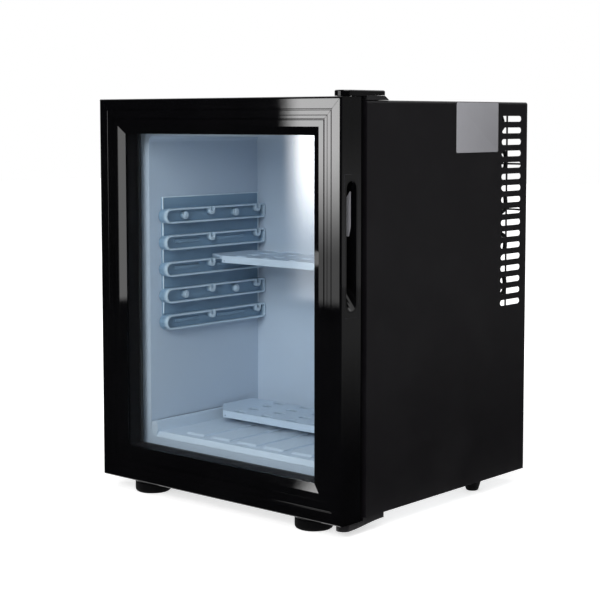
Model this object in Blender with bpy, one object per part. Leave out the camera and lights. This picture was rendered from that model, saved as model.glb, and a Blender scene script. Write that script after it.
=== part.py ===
"""Minibar fridge with a double-glazed door and an absorption cooling unit.

Units are metres, +Z is up and the front faces -Y. The origin lies on the floor, under the
middle of the fridge. The door turns about the two pins at its right edge, the shelves slide
forward on their supports, and the two front feet screw down to level the cabinet.
"""

import math

import bmesh
import bpy
from mathutils import Matrix, Vector

# Overall sizes
WIDTH = 0.400
CABINET_HEIGHT = 0.4775
CABINET_DEPTH = 0.3295
FOOT_HEIGHT = 0.019
DOOR_THICKNESS = 0.035
GASKET_GAP = 0.0105
DOOR_BELOW = 0.0025
DOOR_ABOVE = 0.004

# Running gap between pieces that touch
CLEAR = 0.0003

# Walls of the cabinet
SHEET = 0.001
SIDE_WALL = 0.047
TOP_WALL = 0.042
FLOOR_WALL = 0.047
BACK_WALL = 0.048
BAY_DEPTH = 0.078
LIP = 0.014
FOLD = 0.0003
SHELL_CORNER = 0.003
LINER_WALL = 0.002
LINER_CORNER = 0.008

# Vent slots in both side walls of the rear bay
VENT_ROWS = 17
VENT_PITCH = 0.0146
VENT_HEIGHT = 0.0072
VENT_TOP_GAP = 0.0175
VENT_FRONT = 0.020
VENT_SHORT = 0.0109
VENT_BAR = 0.0028
VENT_LONG = 0.0313

# Air opening in the base, under the rear bay
AIR_WIDTH = 0.300
AIR_FRONT = 0.0125
AIR_DEPTH = 0.054

# Floor tray
TRAY_FLOOR = 0.0067
TRAY_BEVEL = 0.004
BEVEL_OVERRUN = 1.2
LEDGE_HEIGHT = 0.0195
LEDGE_WIDTH = 0.010
LEDGE_SLANT = 0.0015
LEDGE_GROOVE = 0.0012
PAD_COUNT = 5
PAD_PITCH = 0.045
PAD_WIDTH = 0.031
PAD_HEIGHT = 0.002
PAD_FRONT = 0.0155
PAD_SLOPE = 0.004
PAD_BACK = 0.005

# Shelf rails on the two side walls
RAIL_PLATE = 0.0025
RAIL_FRONT = 0.014
RAIL_BACK = 0.002
RAIL_MARGIN = 0.0152
RIB_COUNT = 5
RIB_PITCH = 0.0344
RIB_HEIGHT = 0.0192
RIB_DEPTH = 0.0157
RIB_WALL = 0.002
RIB_HOLLOW = 0.008
RIB_CORNER = 0.003
RIB_LOWEST = 0.1376
NOTCH_RADIUS = 0.003
NOTCH_STEP = 0.0035
NOTCH_PLACES = (0.0161, 0.1047)
BOSS_RADIUS = 0.0052
BOSS_RIBS = (2, 5)
BOSS_PLACES = (0.0566, 0.152)

# Shelves
SHELF_DEPTH = 0.0912
SHELF_EDGE = 0.0047
SHELF_HEIGHT = 0.009
SHELF_SKIRT = 0.0025
SHELF_SIDE = 0.006
SHELF_BACK = 0.0189
SHELF_BEVEL = 0.032
UPPER_BEVEL_DEPTH = 0.0145
LOWER_BEVEL_DEPTH = 0.033
SHELF_HOLE = 0.0012
SHELF_HOLE_INSET = 0.004
SHELF_HOLE_DROP = 0.0066
SHELF_RIB = 2
SLOT_COLUMNS = 5
SLOT_ROWS = 4
SLOT_PITCH_X = 0.045
SLOT_PITCH_Y = 0.0254
SLOT_LENGTH = 0.016
SLOT_WIDTH = 0.011
SLOT_CORNER = 0.002
SLOT_FIRST = 0.0082

# Door frame section: inset from the door's edge, depth behind its front plane
EDGE_ROUND = 0.0024
FACET_1 = 0.0132
GROOVE_1 = 0.0023
FACET_2 = 0.0087
FACET_LINE = 0.0052
LINE_WIDTH = 0.0008
LINE_DEPTH = 0.0003
GROOVE_2 = 0.0018
FACET_3 = 0.0075
BEVEL_FACET = 0.0098
GROOVE_DEPTH = 0.001
GROOVE_FLAT_START = 0.35
GROOVE_FLAT_END = 0.65
STEP_DEPTH = 0.0004
BEVEL_DEPTH = 0.0037
LIP_THICKNESS = 0.0005
FRAME_WALL = 0.003
FRAME_FRONT_WALL = 0.005
POCKET_LAP = 0.0078
BACK_LAP = 0.0138

# Glazing
GLASS = 0.004
GLASS_CAVITY = 0.0167

# Corner keys inside the frame
KEY_ARM = 0.046

# Finger recesses in both door edges
RECESS_LOW = 0.242
RECESS_HEIGHT = 0.150
RECESS_WIDTH = 0.0215
RECESS_FRONT = 0.0075
RECESS_DEPTH = 0.0155
RECESS_WALL = 0.0015
RECESS_SCOOP = 0.018
RECESS_TAPER = 0.003

# Gasket section
GASKET_WIDTH = 0.016
GASKET_INSET = 0.012
GASKET_WAIST = 0.008

# Hinges
HINGE_INSET = 0.0115
HINGE_SETBACK = 0.019
PIN_RADIUS = 0.0039
PIN_REACH = 0.016
PIN_HEAD_RADIUS = 0.0056
PIN_HEAD = 0.0013
BUSH_RADIUS = 0.0058
BUSH_FLANGE = 0.008
BUSH_FLANGE_THICKNESS = 0.001
STRAP_RADIUS = 0.011
STRAP_LENGTH = 0.0595
STRAP_PLATE = 0.0025
COVER_HEIGHT = 0.0056
COVER_WALL = 0.0012
COVER_BEVEL = 0.001
PAD_REAR_SLOPE = 0.008
PAD_SETBACK = 0.0005
BRACKET_THICKNESS = 0.007
BRACKET_NOSE_DROP = 0.0042
BRACKET_SWEEP_SHARE = 0.9
BRACKET_STEPS = 6
BRACKET_INSET = 0.0025
BRACKET_EXTRA = 0.0065

# Feet
FRONT_FOOT_RADIUS = 0.0229
FRONT_FOOT_INSET = 0.0638
FRONT_FOOT_SETBACK = 0.0284
FRONT_FOOT_FLOOR = 0.0025
FOOT_ROUND = 0.004
STUD_RADIUS = 0.005
FOOT_BRACKET_PLATE = 0.002
FOOT_BRACKET_LENGTH = 0.070
REAR_FOOT_TOP = 0.012
REAR_FOOT_BOTTOM = 0.008
REAR_FOOT_INSET = 0.0275
REAR_FOOT_PAST_BAY = 0.0015

# Cooling unit
PIPE_SETBACK = 0.0325
COIL_RADIUS = 0.0075
COIL_PASSES = 8
COIL_DROP = 0.002
COIL_BEND = 0.013
COIL_LEFT_MARGIN = 0.115
COIL_RIGHT_MARGIN = 0.035
COIL_BELOW_TOP = 0.057
COIL_TAIL_MARGIN = 0.140
VESSEL_RADIUS = 0.024
VESSEL_LEFT_MARGIN = 0.120
VESSEL_RIGHT_MARGIN = 0.062
VESSEL_HEIGHT = 0.0475
VESSEL_DOME = 0.010
VESSEL_END_SHARE = 0.35
BOILER_MARGIN = 0.050
BOILER_SETBACK = 0.0405
BOILER_RADIUS = 0.009
BOILER_LOW = 0.022
BOILER_HEIGHT = 0.300
JACKET_RADIUS = 0.030
JACKET_LOW = 0.0475
JACKET_HEIGHT = 0.200
HEATER_RADIUS = 0.005
HEATER_OFFSET = -0.016
HEATER_HEIGHT = 0.150
RETURN_OFFSET = 0.021
RECTIFIER_RADIUS = 0.009
RECTIFIER_BEND = 0.020
CONDENSER_RADIUS = 0.008
CONDENSER_BELOW_TOP = 0.024
CONDENSER_DROP = 0.004
CONDENSER_RIGHT_MARGIN = 0.035
FIN_PITCH = 0.016
FIN_FIRST_MARGIN = 0.104
FIN_SIZE = 0.036
FIN_THICKNESS = 0.0012
SMALL_PIPE = 0.005
SMALL_BEND = 0.009
CONDENSATE_BEND = 0.0081
LIQUID_PIPE = 0.006
EVAPORATOR_RADIUS = 0.0055
EVAPORATOR_HALF = 0.095
EVAPORATOR_PITCH = 0.0385
EVAPORATOR_PASSES = 3
EVAPORATOR_PLATE = 0.0015
EVAPORATOR_MARGIN = 0.012
HAT_LEFT_MARGIN = 0.140
HAT_RIGHT_MARGIN = 0.138
HAT_WIDTH = 0.018
HAT_FLANGE = 0.010
HAT_SHEET = 0.0012
HAT_MARGIN = 0.010
BOX_MARGIN = 0.004
BOX_WIDTH = 0.046
BOX_HEIGHT = 0.076
BOX_DEPTH = 0.060
BOX_LOW = 0.0015
BOX_WALL = 0.002
INLET_WIDTH = 0.030
INLET_HEIGHT = 0.022
INLET_DEPTH = 0.014
INLET_WALL = 0.002

# Places that follow from the sizes
HALF = WIDTH / 2
BASE_Z = FOOT_HEIGHT
TOP_Z = BASE_Z + CABINET_HEIGHT
DOOR_Z = BASE_Z - DOOR_BELOW
DOOR_TOP = TOP_Z + DOOR_ABOVE
FRONT_Y = -(DOOR_THICKNESS + GASKET_GAP + CABINET_DEPTH) / 2
DOOR_BACK_Y = FRONT_Y + DOOR_THICKNESS
CABINET_Y = DOOR_BACK_Y + GASKET_GAP
REAR_Y = CABINET_Y + CABINET_DEPTH
BAY_Y = REAR_Y - BAY_DEPTH
INSIDE_X = HALF - SIDE_WALL
INSIDE_FLOOR = BASE_Z + FLOOR_WALL
INSIDE_TOP = TOP_Z - TOP_WALL
INSIDE_BACK = BAY_Y - BACK_WALL
HINGE_X = HALF - HINGE_INSET
HINGE_Y = FRONT_Y + HINGE_SETBACK
PIPE_Y = BAY_Y + PIPE_SETBACK
PANEL_BACK = BAY_Y + SHEET
TRAY_BOTTOM = INSIDE_FLOOR + CLEAR
LEDGE_TOP = TRAY_BOTTOM + LEDGE_HEIGHT
BEVEL_START = FACET_1 + GROOVE_1 + FACET_2 + GROOVE_2 + FACET_3
OPENING_INSET = BEVEL_START + BEVEL_FACET
POCKET_INSET = OPENING_INSET - POCKET_LAP
REBATE_INSET = POCKET_INSET - BACK_LAP
GLASS_FRONT = 3 * STEP_DEPTH + BEVEL_DEPTH + LIP_THICKNESS + CLEAR
SPACER_FRONT = GLASS_FRONT + GLASS + CLEAR
INNER_GLASS_FRONT = SPACER_FRONT + GLASS_CAVITY + CLEAR
TRIM_FRONT = INNER_GLASS_FRONT + GLASS + CLEAR
FOOT_PLATE_TOP = DOOR_Z - 2 * CLEAR
FOOT_PLATE_LOW = FOOT_PLATE_TOP - FOOT_BRACKET_PLATE
COIL_LEFT = COIL_LEFT_MARGIN - HALF
COIL_RIGHT = HALF - COIL_RIGHT_MARGIN
COIL_TAIL_X = COIL_TAIL_MARGIN - HALF
VESSEL_LEFT = VESSEL_LEFT_MARGIN - HALF
VESSEL_RIGHT = HALF - VESSEL_RIGHT_MARGIN
VESSEL_Z = BASE_Z + VESSEL_HEIGHT
BOILER_X = BOILER_MARGIN - HALF
CONDENSER_RIGHT = HALF - CONDENSER_RIGHT_MARGIN
FIN_FIRST = FIN_FIRST_MARGIN - HALF
FIN_COUNT = int((CONDENSER_RIGHT - FIN_FIRST - FIN_SIZE) / FIN_PITCH) + 1
BOX_LEFT = HALF - BOX_MARGIN - BOX_WIDTH
HAT_PLACES = (HAT_LEFT_MARGIN - HALF, HALF - HAT_RIGHT_MARGIN)
EVAPORATOR_Y = INSIDE_BACK + LINER_WALL + 2 * CLEAR + EVAPORATOR_PLATE + EVAPORATOR_RADIUS

FINISHES = {
    "black_paint": ((0.012, 0.012, 0.014), 0.42, 0.0, 1.0),
    "black_gloss": ((0.006, 0.006, 0.007), 0.08, 0.0, 1.0),
    "black_plastic": ((0.014, 0.014, 0.015), 0.5, 0.0, 1.0),
    "rubber": ((0.012, 0.012, 0.012), 0.75, 0.0, 1.0),
    "liner_plastic": ((0.43, 0.57, 0.72), 0.4, 0.0, 1.0),
    "rail_plastic": ((0.16, 0.26, 0.40), 0.45, 0.0, 1.0),
    "shelf_plastic": ((0.50, 0.63, 0.76), 0.38, 0.0, 1.0),
    "foam": ((0.72, 0.62, 0.38), 0.9, 0.0, 1.0),
    "zinc": ((0.55, 0.56, 0.57), 0.4, 1.0, 1.0),
    "steel": ((0.6, 0.6, 0.61), 0.25, 1.0, 1.0),
    "aluminium": ((0.7, 0.7, 0.71), 0.35, 1.0, 1.0),
    "black_pipe": ((0.02, 0.02, 0.022), 0.55, 0.0, 1.0),
    "glass": ((0.80, 0.88, 0.88), 0.02, 0.0, 0.25),
}


def clear_scene():
    for obj in list(bpy.data.objects):
        bpy.data.objects.remove(obj)


def finish(obj, kind):
    """Gives the piece its own Principled material with the values of one of FINISHES."""
    colour, roughness, metallic, alpha = FINISHES[kind]
    material = bpy.data.materials.new(obj.name + "_" + kind)
    material.use_nodes = True
    shader = material.node_tree.nodes["Principled BSDF"]
    shader.inputs["Base Color"].default_value = (*colour, 1)
    shader.inputs["Roughness"].default_value = roughness
    shader.inputs["Metallic"].default_value = metallic
    shader.inputs["Alpha"].default_value = alpha
    obj.data.materials.append(material)
    return obj


def from_bmesh(name, bm, smooth=False):
    bmesh.ops.recalc_face_normals(bm, faces=bm.faces)
    mesh = bpy.data.meshes.new(name)
    bm.to_mesh(mesh)
    bm.free()
    if smooth:
        mesh.shade_smooth()
        mesh.set_sharp_from_angle(angle=math.radians(40))
    obj = bpy.data.objects.new(name, mesh)
    bpy.context.scene.collection.objects.link(obj)
    return obj


def arc(a, b, radius, start, end, steps):
    """Points round (a, b) from one angle to another, in degrees, with both ends."""
    turns = [math.radians(start + (end - start) * i / steps) for i in range(steps + 1)]
    return [(a + radius * math.cos(t), b + radius * math.sin(t)) for t in turns]


def rounded(a0, a1, b0, b1, radius, steps=3):
    """A rectangle with round corners."""
    corners = ((a1, b1, 0), (a0, b1, 90), (a0, b0, 180), (a1, b0, 270))
    points = []
    for a, b, start in corners:
        centre_a = a - radius if a == a1 else a + radius
        centre_b = b - radius if b == b1 else b + radius
        points += arc(centre_a, centre_b, radius, start, start + 90, steps)
    return points


def along_x(y, z, x):
    return (x, y, z)


def along_y(x, z, y):
    return (x, y, z)


def along_z(x, y, z):
    return (x, y, z)


def prism(name, loops, near, far, place):
    """A solid swept from near to far. The first loop is its outline, the others are holes."""
    bm = bmesh.new()
    ends = [[[bm.verts.new(place(a, b, c)) for a, b in loop] for loop in loops] for c in (near, far)]
    for first, second in zip(*ends):
        for i in range(len(first)):
            bm.faces.new((first[i - 1], first[i], second[i], second[i - 1]))
    for end in ends:
        edges = [bm.edges.get((loop[i - 1], loop[i])) for loop in end for i in range(len(loop))]
        bmesh.ops.triangle_fill(bm, use_beauty=True, edges=edges)
    return from_bmesh(name, bm)


def box(name, x0, x1, y0, y1, z0, z1):
    return prism(name, [[(x0, y0), (x1, y0), (x1, y1), (x0, y1)]], z0, z1, along_z)


def loft(name, rings, closed=False, smooth=False):
    """A skin over rings of equally many points, capped at both ends or closed on itself."""
    bm = bmesh.new()
    rows = [[bm.verts.new(point) for point in ring] for ring in rings]
    pairs = list(zip(rows, rows[1:]))
    if closed:
        pairs.append((rows[-1], rows[0]))
    else:
        bm.faces.new(rows[0])
        bm.faces.new(rows[-1])
    for first, second in pairs:
        for i in range(len(first)):
            bm.faces.new((first[i - 1], first[i], second[i], second[i - 1]))
    return from_bmesh(name, bm, smooth)


def turned(name, x, y, profile, sides=28, closed=False):
    """A body of revolution about the vertical through (x, y), from (radius, height) points."""
    rings = []
    for radius, z in profile:
        rings.append([(x + a, y + b, z) for a, b in arc(0, 0, radius, 0, 360, sides)[:-1]])
    return loft(name, rings, closed, smooth=True)


def cylinder(name, x, y, radius, z0, z1, sides=28):
    return turned(name, x, y, [(radius, z0), (radius, z1)], sides)


def tube(name, path, radius, sides=10):
    """A round bar along the path, with flat ends square to it."""
    points = [Vector(p) for p in path]
    rings = []
    side = None
    for i, point in enumerate(points):
        before = points[max(i - 1, 0)]
        after = points[min(i + 1, len(points) - 1)]
        along = (after - before).normalized()
        if side is None:
            side = along.cross(Vector((0, 0, 1)) if abs(along.z) < 0.9 else Vector((0, 1, 0)))
        side = (side - along * side.dot(along)).normalized()
        up = along.cross(side)
        rings.append([point + side * a + up * b for a, b in arc(0, 0, radius, 0, 360, sides)[:-1]])
    return loft(name, rings, smooth=True)


def bent(points, radius, steps=5):
    """The points of a pipe's route with each inner corner turned into an arc."""
    points = [Vector(p) for p in points]
    path = [points[0]]
    for before, corner, after in zip(points, points[1:], points[2:]):
        back = (before - corner).normalized()
        ahead = (after - corner).normalized()
        half = math.acos(max(-1, min(1, back.dot(ahead)))) / 2
        reach = radius / math.tan(half)
        centre = corner + (back + ahead).normalized() * radius / math.sin(half)
        start = corner + back * reach - centre
        turn = math.pi - 2 * half
        axis = start.cross(corner + ahead * reach - centre).normalized()
        for i in range(steps + 1):
            path.append(centre + Matrix.Rotation(turn * i / steps, 3, axis) @ start)
    return path + [points[-1]]


def serpentine(left, right, y, top, passes, drop, bend, steps=6):
    """A coil in an upright plane: sloping runs joined by half-round bends, from top left."""
    path = [(left, y, top)]
    z = top
    for i in range(passes):
        heading_right = i % 2 == 0
        x = right if heading_right else left
        z -= drop
        if i == passes - 1:
            path.append((x, y, z))
            break
        sweep = -1 if heading_right else 1
        path += [(a, y, b) for a, b in arc(x, z - bend, bend, 90, 90 + sweep * 180, steps)]
        z -= 2 * bend
    return path


def boolean(obj, tool, operation):
    tool.hide_render = True
    tool.display_type = "WIRE"
    modifier = obj.modifiers.new(tool.name, "BOOLEAN")
    modifier.operation = operation
    modifier.solver = "EXACT"
    modifier.object = tool
    return obj


def cut(obj, tool):
    return boolean(obj, tool, "DIFFERENCE")


def join(obj, tool):
    return boolean(obj, tool, "UNION")


def hang(pieces, name, place):
    """Hangs pieces on an empty at place, each with its own origin at its mesh's middle."""
    empty = bpy.data.objects.new(name, None)
    empty.location = place
    bpy.context.scene.collection.objects.link(empty)
    for piece in pieces:
        corners = [Vector(corner) for corner in piece.bound_box]
        middle = sum(corners, Vector()) / len(corners)
        piece.data.transform(Matrix.Translation(-middle))
        piece.parent = empty
        piece.location = middle - empty.location


# Cabinet


def arch(inset, low):
    """Left side, top and right side of the cabinet, this far inside its outer face."""
    radius = max(SHELL_CORNER - inset, 0.0005)
    edge = HALF - inset
    top = TOP_Z - inset
    left = arc(-edge + radius, top - radius, radius, 180, 90, 3)
    right = arc(edge - radius, top - radius, radius, 90, 0, 3)
    return [(-edge, low)] + left + right + [(edge, low)]


def vent_cutters():
    """Each row of vents is a long hole with round ends, split by an upright bar."""
    bm = bmesh.new()
    start = BAY_Y + VENT_FRONT
    half = VENT_HEIGHT / 2
    bar = start + VENT_SHORT
    far = bar + VENT_BAR + VENT_LONG
    reach = HALF + SHEET
    for row in range(VENT_ROWS):
        z = TOP_Z - VENT_TOP_GAP - half - row * VENT_PITCH
        front = arc(start + half, z, half, 90, 270, 5) + [(bar, z - half), (bar, z + half)]
        back = arc(far - half, z, half, -90, 90, 5)
        back += [(bar + VENT_BAR, z + half), (bar + VENT_BAR, z - half)]
        for outline in (front, back):
            ends = [[bm.verts.new((x, y, b)) for y, b in outline] for x in (-reach, reach)]
            for i in range(len(outline)):
                bm.faces.new((ends[0][i - 1], ends[0][i], ends[1][i], ends[1][i - 1]))
            for end in ends:
                bm.faces.new(end)
    return from_bmesh("vent_cutters", bm)


def outer_shell():
    wall = arch(0, BASE_Z) + arch(SHEET, BASE_Z)[::-1]
    shell = prism("outer_shell", [wall], CABINET_Y + FOLD, REAR_Y, along_y)
    lip = arch(FOLD, BASE_Z) + arch(LIP, BASE_Z)[::-1]
    join(shell, prism("shell_lip", [lip], CABINET_Y, CABINET_Y + SHEET, along_y))
    cut(shell, vent_cutters())
    return finish(shell, "black_paint")


def base_plate():
    edge = HALF - SHEET - CLEAR
    lip_edge = HALF - LIP - CLEAR
    front = CABINET_Y + FOLD
    behind = CABINET_Y + SHEET + CLEAR
    half = [(lip_edge, front), (lip_edge, behind), (edge, behind), (edge, REAR_Y)]
    outline = half + [(-x, y) for x, y in reversed(half)]
    wide = AIR_WIDTH / 2
    start = BAY_Y + AIR_FRONT
    stop = start + AIR_DEPTH
    opening = rounded(-wide, wide, start, stop, LIP / 2)
    plate = prism("base_plate", [outline, opening], BASE_Z, BASE_Z + SHEET, along_z)
    join(plate, box("base_lip", -lip_edge, lip_edge, CABINET_Y, CABINET_Y + SHEET, BASE_Z, BASE_Z + LIP))
    return finish(plate, "zinc")


def compartment(grow, y, steps=3):
    """The compartment's outline at depth y, grown by this much all round."""
    outline = rounded(
        -INSIDE_X - grow, INSIDE_X + grow, INSIDE_FLOOR - grow, INSIDE_TOP + grow, LINER_CORNER + grow, steps
    )
    return [(x, y, z) for x, z in outline]


def inner_liner():
    flange = rounded(
        -HALF + LIP + CLEAR, HALF - LIP - CLEAR, BASE_Z + LIP + CLEAR, TOP_Z - LIP - CLEAR, 2 * SHEET
    )
    liner = loft(
        "inner_liner",
        [
            compartment(0, INSIDE_BACK),
            compartment(0, CABINET_Y),
            [(x, CABINET_Y, z) for x, z in flange],
            [(x, CABINET_Y + LINER_WALL, z) for x, z in flange],
            compartment(LINER_WALL, CABINET_Y + LINER_WALL),
            compartment(LINER_WALL, INSIDE_BACK + LINER_WALL),
        ],
    )
    return finish(liner, "liner_plastic")


def foam_insulation():
    edge = HALF - SHEET - CLEAR
    block = rounded(-edge, edge, BASE_Z + SHEET + CLEAR, TOP_Z - SHEET - CLEAR, SHELL_CORNER)
    front = CABINET_Y + LINER_WALL + CLEAR
    grow = LINER_WALL + CLEAR
    foam = loft(
        "foam_insulation",
        [
            [(x, BAY_Y - CLEAR, z) for x, z in block],
            [(x, front, z) for x, z in block],
            compartment(grow, front),
            compartment(grow, INSIDE_BACK + grow),
        ],
    )
    low, high = evaporator_span()
    reach = EVAPORATOR_HALF + EVAPORATOR_PITCH + EVAPORATOR_RADIUS
    back = EVAPORATOR_Y + EVAPORATOR_RADIUS + CLEAR
    cut(foam, box("evaporator_pocket", -reach, reach, INSIDE_BACK, back, low - SHEET, high + SHEET))
    for x, z, radius in pipe_passages():
        start = (x, INSIDE_BACK + grow, z)
        cut(foam, tube("foam_passage", [start, (x, REAR_Y, z)], radius + CLEAR, 16))
    return finish(foam, "foam")


def rear_panel():
    edge = HALF - SHEET - CLEAR
    outline = rounded(-edge, edge, BASE_Z + SHEET + CLEAR, TOP_Z - SHEET - CLEAR, SHELL_CORNER)
    panel = prism("rear_panel", [outline], BAY_Y, PANEL_BACK, along_y)
    for x, z, radius in pipe_passages():
        cut(panel, tube("panel_passage", [(x, INSIDE_BACK, z), (x, REAR_Y, z)], radius + CLEAR, 16))
    return finish(panel, "zinc")


def floor_tray():
    """A tray with a ledge along three walls, five raised pads and a bevelled front edge."""
    edge = INSIDE_X - CLEAR
    corner = LINER_CORNER - CLEAR
    inner = edge - LEDGE_WIDTH
    floor = TRAY_BOTTOM + TRAY_FLOOR
    front = CABINET_Y + CLEAR
    back = INSIDE_BACK - CLEAR
    foot = inner - LEDGE_SLANT
    groove = LEDGE_TOP - 2 * LEDGE_GROOVE
    outline = [(foot, floor), (inner, LEDGE_TOP), (edge - LEDGE_GROOVE, LEDGE_TOP), (edge, groove)]
    outline += arc(edge - corner, TRAY_BOTTOM + corner, corner, 0, -90, 3)
    outline += arc(-edge + corner, TRAY_BOTTOM + corner, corner, -90, -180, 3)
    outline += [(-edge, groove), (LEDGE_GROOVE - edge, LEDGE_TOP), (-inner, LEDGE_TOP), (-foot, floor)]
    tray = prism("floor_tray", [outline], front, back, along_y)
    half = TRAY_FLOOR / 2
    ledge_start = back - LEDGE_WIDTH
    side = [(ledge_start, floor - half), (ledge_start, LEDGE_TOP), (back - LEDGE_GROOVE, LEDGE_TOP)]
    side += [(back, groove), (back, floor - half)]
    join(tray, prism("back_ledge", [side], -inner - half, inner + half, along_x))
    for i in range(PAD_COUNT):
        x = (i - (PAD_COUNT - 1) / 2) * PAD_PITCH
        start = CABINET_Y + PAD_FRONT
        stop = ledge_start - PAD_BACK
        top = floor + PAD_HEIGHT
        low = floor - half
        side = [(start, low), (start, floor), (start + PAD_SLOPE, top), (stop - PAD_SLOPE, top)]
        side += [(stop, floor), (stop, low)]
        join(tray, prism("pad", [side], x - PAD_WIDTH / 2, x + PAD_WIDTH / 2, along_x))
    slope = TRAY_FLOOR / TRAY_BEVEL
    run = TRAY_BEVEL * BEVEL_OVERRUN
    wedge = [(front - run, TRAY_BOTTOM - slope * run), (front + run, TRAY_BOTTOM + slope * run)]
    wedge += [(front - run, TRAY_BOTTOM + slope * run)]
    cut(tray, prism("front_bevel", [wedge], -inner - half / 3, inner + half / 3, along_x))
    return finish(tray, "liner_plastic")


def rib_outline(y0, y1, z, inset):
    """One rib from the side: round front, two U-notches in its top edge, small rear corners."""
    radius = RIB_HEIGHT / 2 - inset
    corner = max(RIB_CORNER - inset, 0.001)
    top = z + RIB_HEIGHT - inset
    low = z + inset
    points = arc(y0 + inset + radius, z + RIB_HEIGHT / 2, radius, 270, 90, 6)
    notch = NOTCH_RADIUS + inset
    for place in sorted(NOTCH_PLACES, reverse=True):
        y = INSIDE_BACK - place
        bottom = z + RIB_HEIGHT - NOTCH_STEP - inset
        points += [(y - notch, top)] + arc(y, bottom, notch, 180, 360, 5) + [(y + notch, top)]
    points += arc(y1 - inset - corner, top - corner, corner, 90, 0, 2)
    points += arc(y1 - inset - corner, low + corner, corner, 0, -90, 2)
    return points


def rail(name, side):
    """Five ribs with hollow faces on a plate. side is -1 for the left wall and 1 for the right."""
    wall = side * (INSIDE_X - CLEAR)
    root = wall - side * RAIL_PLATE / 2
    rib_face = wall - side * RIB_DEPTH
    hollow = rib_face + side * RIB_HOLLOW
    front = CABINET_Y + RAIL_FRONT
    back = INSIDE_BACK - RAIL_BACK
    low = INSIDE_FLOOR + RIB_LOWEST
    high = low + (RIB_COUNT - 1) * RIB_PITCH + RIB_HEIGHT + RAIL_MARGIN
    plate = rounded(front + 2 * RIB_CORNER, back, low - CLEAR, high, RIB_CORNER)
    panel = prism(name, [plate], wall, wall - side * RAIL_PLATE, along_x)
    for i in range(RIB_COUNT):
        z = low + i * RIB_PITCH
        rings = []
        for x, inset in ((root, 0), (rib_face, 0), (rib_face, RIB_WALL), (hollow, RIB_WALL)):
            rings.append([(x, a, b) for a, b in rib_outline(front, back, z, inset)])
        join(panel, loft("rib", rings))
        if i + 1 in BOSS_RIBS:
            for place in BOSS_PLACES:
                start = (root, INSIDE_BACK - place, z + RIB_HEIGHT / 2)
                stop = (rib_face + side * RIB_HOLLOW / 4, start[1], start[2])
                join(panel, tube("boss", [start, stop], BOSS_RADIUS, 14))
    return finish(panel, "rail_plastic")


def rear_foot(name, side):
    x = side * (HALF - REAR_FOOT_INSET)
    y = BAY_Y + REAR_FOOT_PAST_BAY
    top = BASE_Z - CLEAR
    profile = [(REAR_FOOT_BOTTOM - FOOT_ROUND / 4, 0), (REAR_FOOT_BOTTOM, FOOT_ROUND / 4)]
    profile += [(REAR_FOOT_TOP, top - FOOT_ROUND), (REAR_FOOT_TOP, top)]
    return finish(turned(name, x, y, profile), "rubber")


def front_foot_place(side):
    return side * (HALF - FRONT_FOOT_INSET), FRONT_Y + FRONT_FOOT_SETBACK


def foot_bracket(name, side):
    """A plate under the base that reaches forward below the door, with the foot's stud."""
    x, y = front_foot_place(side)
    nose = arc(x, y, FRONT_FOOT_RADIUS, 180, 360, 14)
    rear = CABINET_Y + FOOT_BRACKET_LENGTH
    plan = nose + [(x + FRONT_FOOT_RADIUS, rear), (x - FRONT_FOOT_RADIUS, rear)]
    front = y - 2 * FRONT_FOOT_RADIUS
    step = CABINET_Y - GASKET_GAP / 6
    top = BASE_Z - CLEAR
    profile = [(front, FOOT_PLATE_LOW), (rear + SHEET, FOOT_PLATE_LOW), (rear + SHEET, top), (step, top)]
    profile += [(step, FOOT_PLATE_TOP), (front, FOOT_PLATE_TOP)]
    wide = 2 * FRONT_FOOT_RADIUS
    bracket = prism(name, [profile], x - wide, x + wide, along_x)
    boolean(bracket, prism("bracket_plan", [plan], 0, BASE_Z + SHEET, along_z), "INTERSECT")
    low = FRONT_FOOT_FLOOR + CLEAR
    middle = (FOOT_PLATE_LOW + FOOT_PLATE_TOP) / 2
    join(bracket, cylinder("stud", x, y, STUD_RADIUS, low, middle, 20))
    return finish(bracket, "black_plastic")


def front_foot(name, side):
    """A levelling foot: a broad disc that turns on the stud of its bracket."""
    x, y = front_foot_place(side)
    rim = FRONT_FOOT_RADIUS
    top = FOOT_PLATE_LOW - CLEAR
    bore = STUD_RADIUS + CLEAR
    profile = arc(rim - FOOT_ROUND, FOOT_ROUND, FOOT_ROUND, 270, 360, 4)
    profile += [(rim, top - SHEET), (rim - SHEET, top), (bore, top), (bore, FRONT_FOOT_FLOOR)]
    return finish(turned(name, x, y, profile, 32), "rubber")


# Hinges


def strap(inset, z, rear):
    """Plan of a hinge strap: a round nose about the pin and a square end over the cabinet."""
    radius = STRAP_RADIUS - inset
    nose = arc(HINGE_X, HINGE_Y, radius, 180, 360, 10)
    end = [(HINGE_X + radius, rear - inset), (HINGE_X - radius, rear - inset)]
    return [(x, y, z) for x, y in nose + end]


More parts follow.
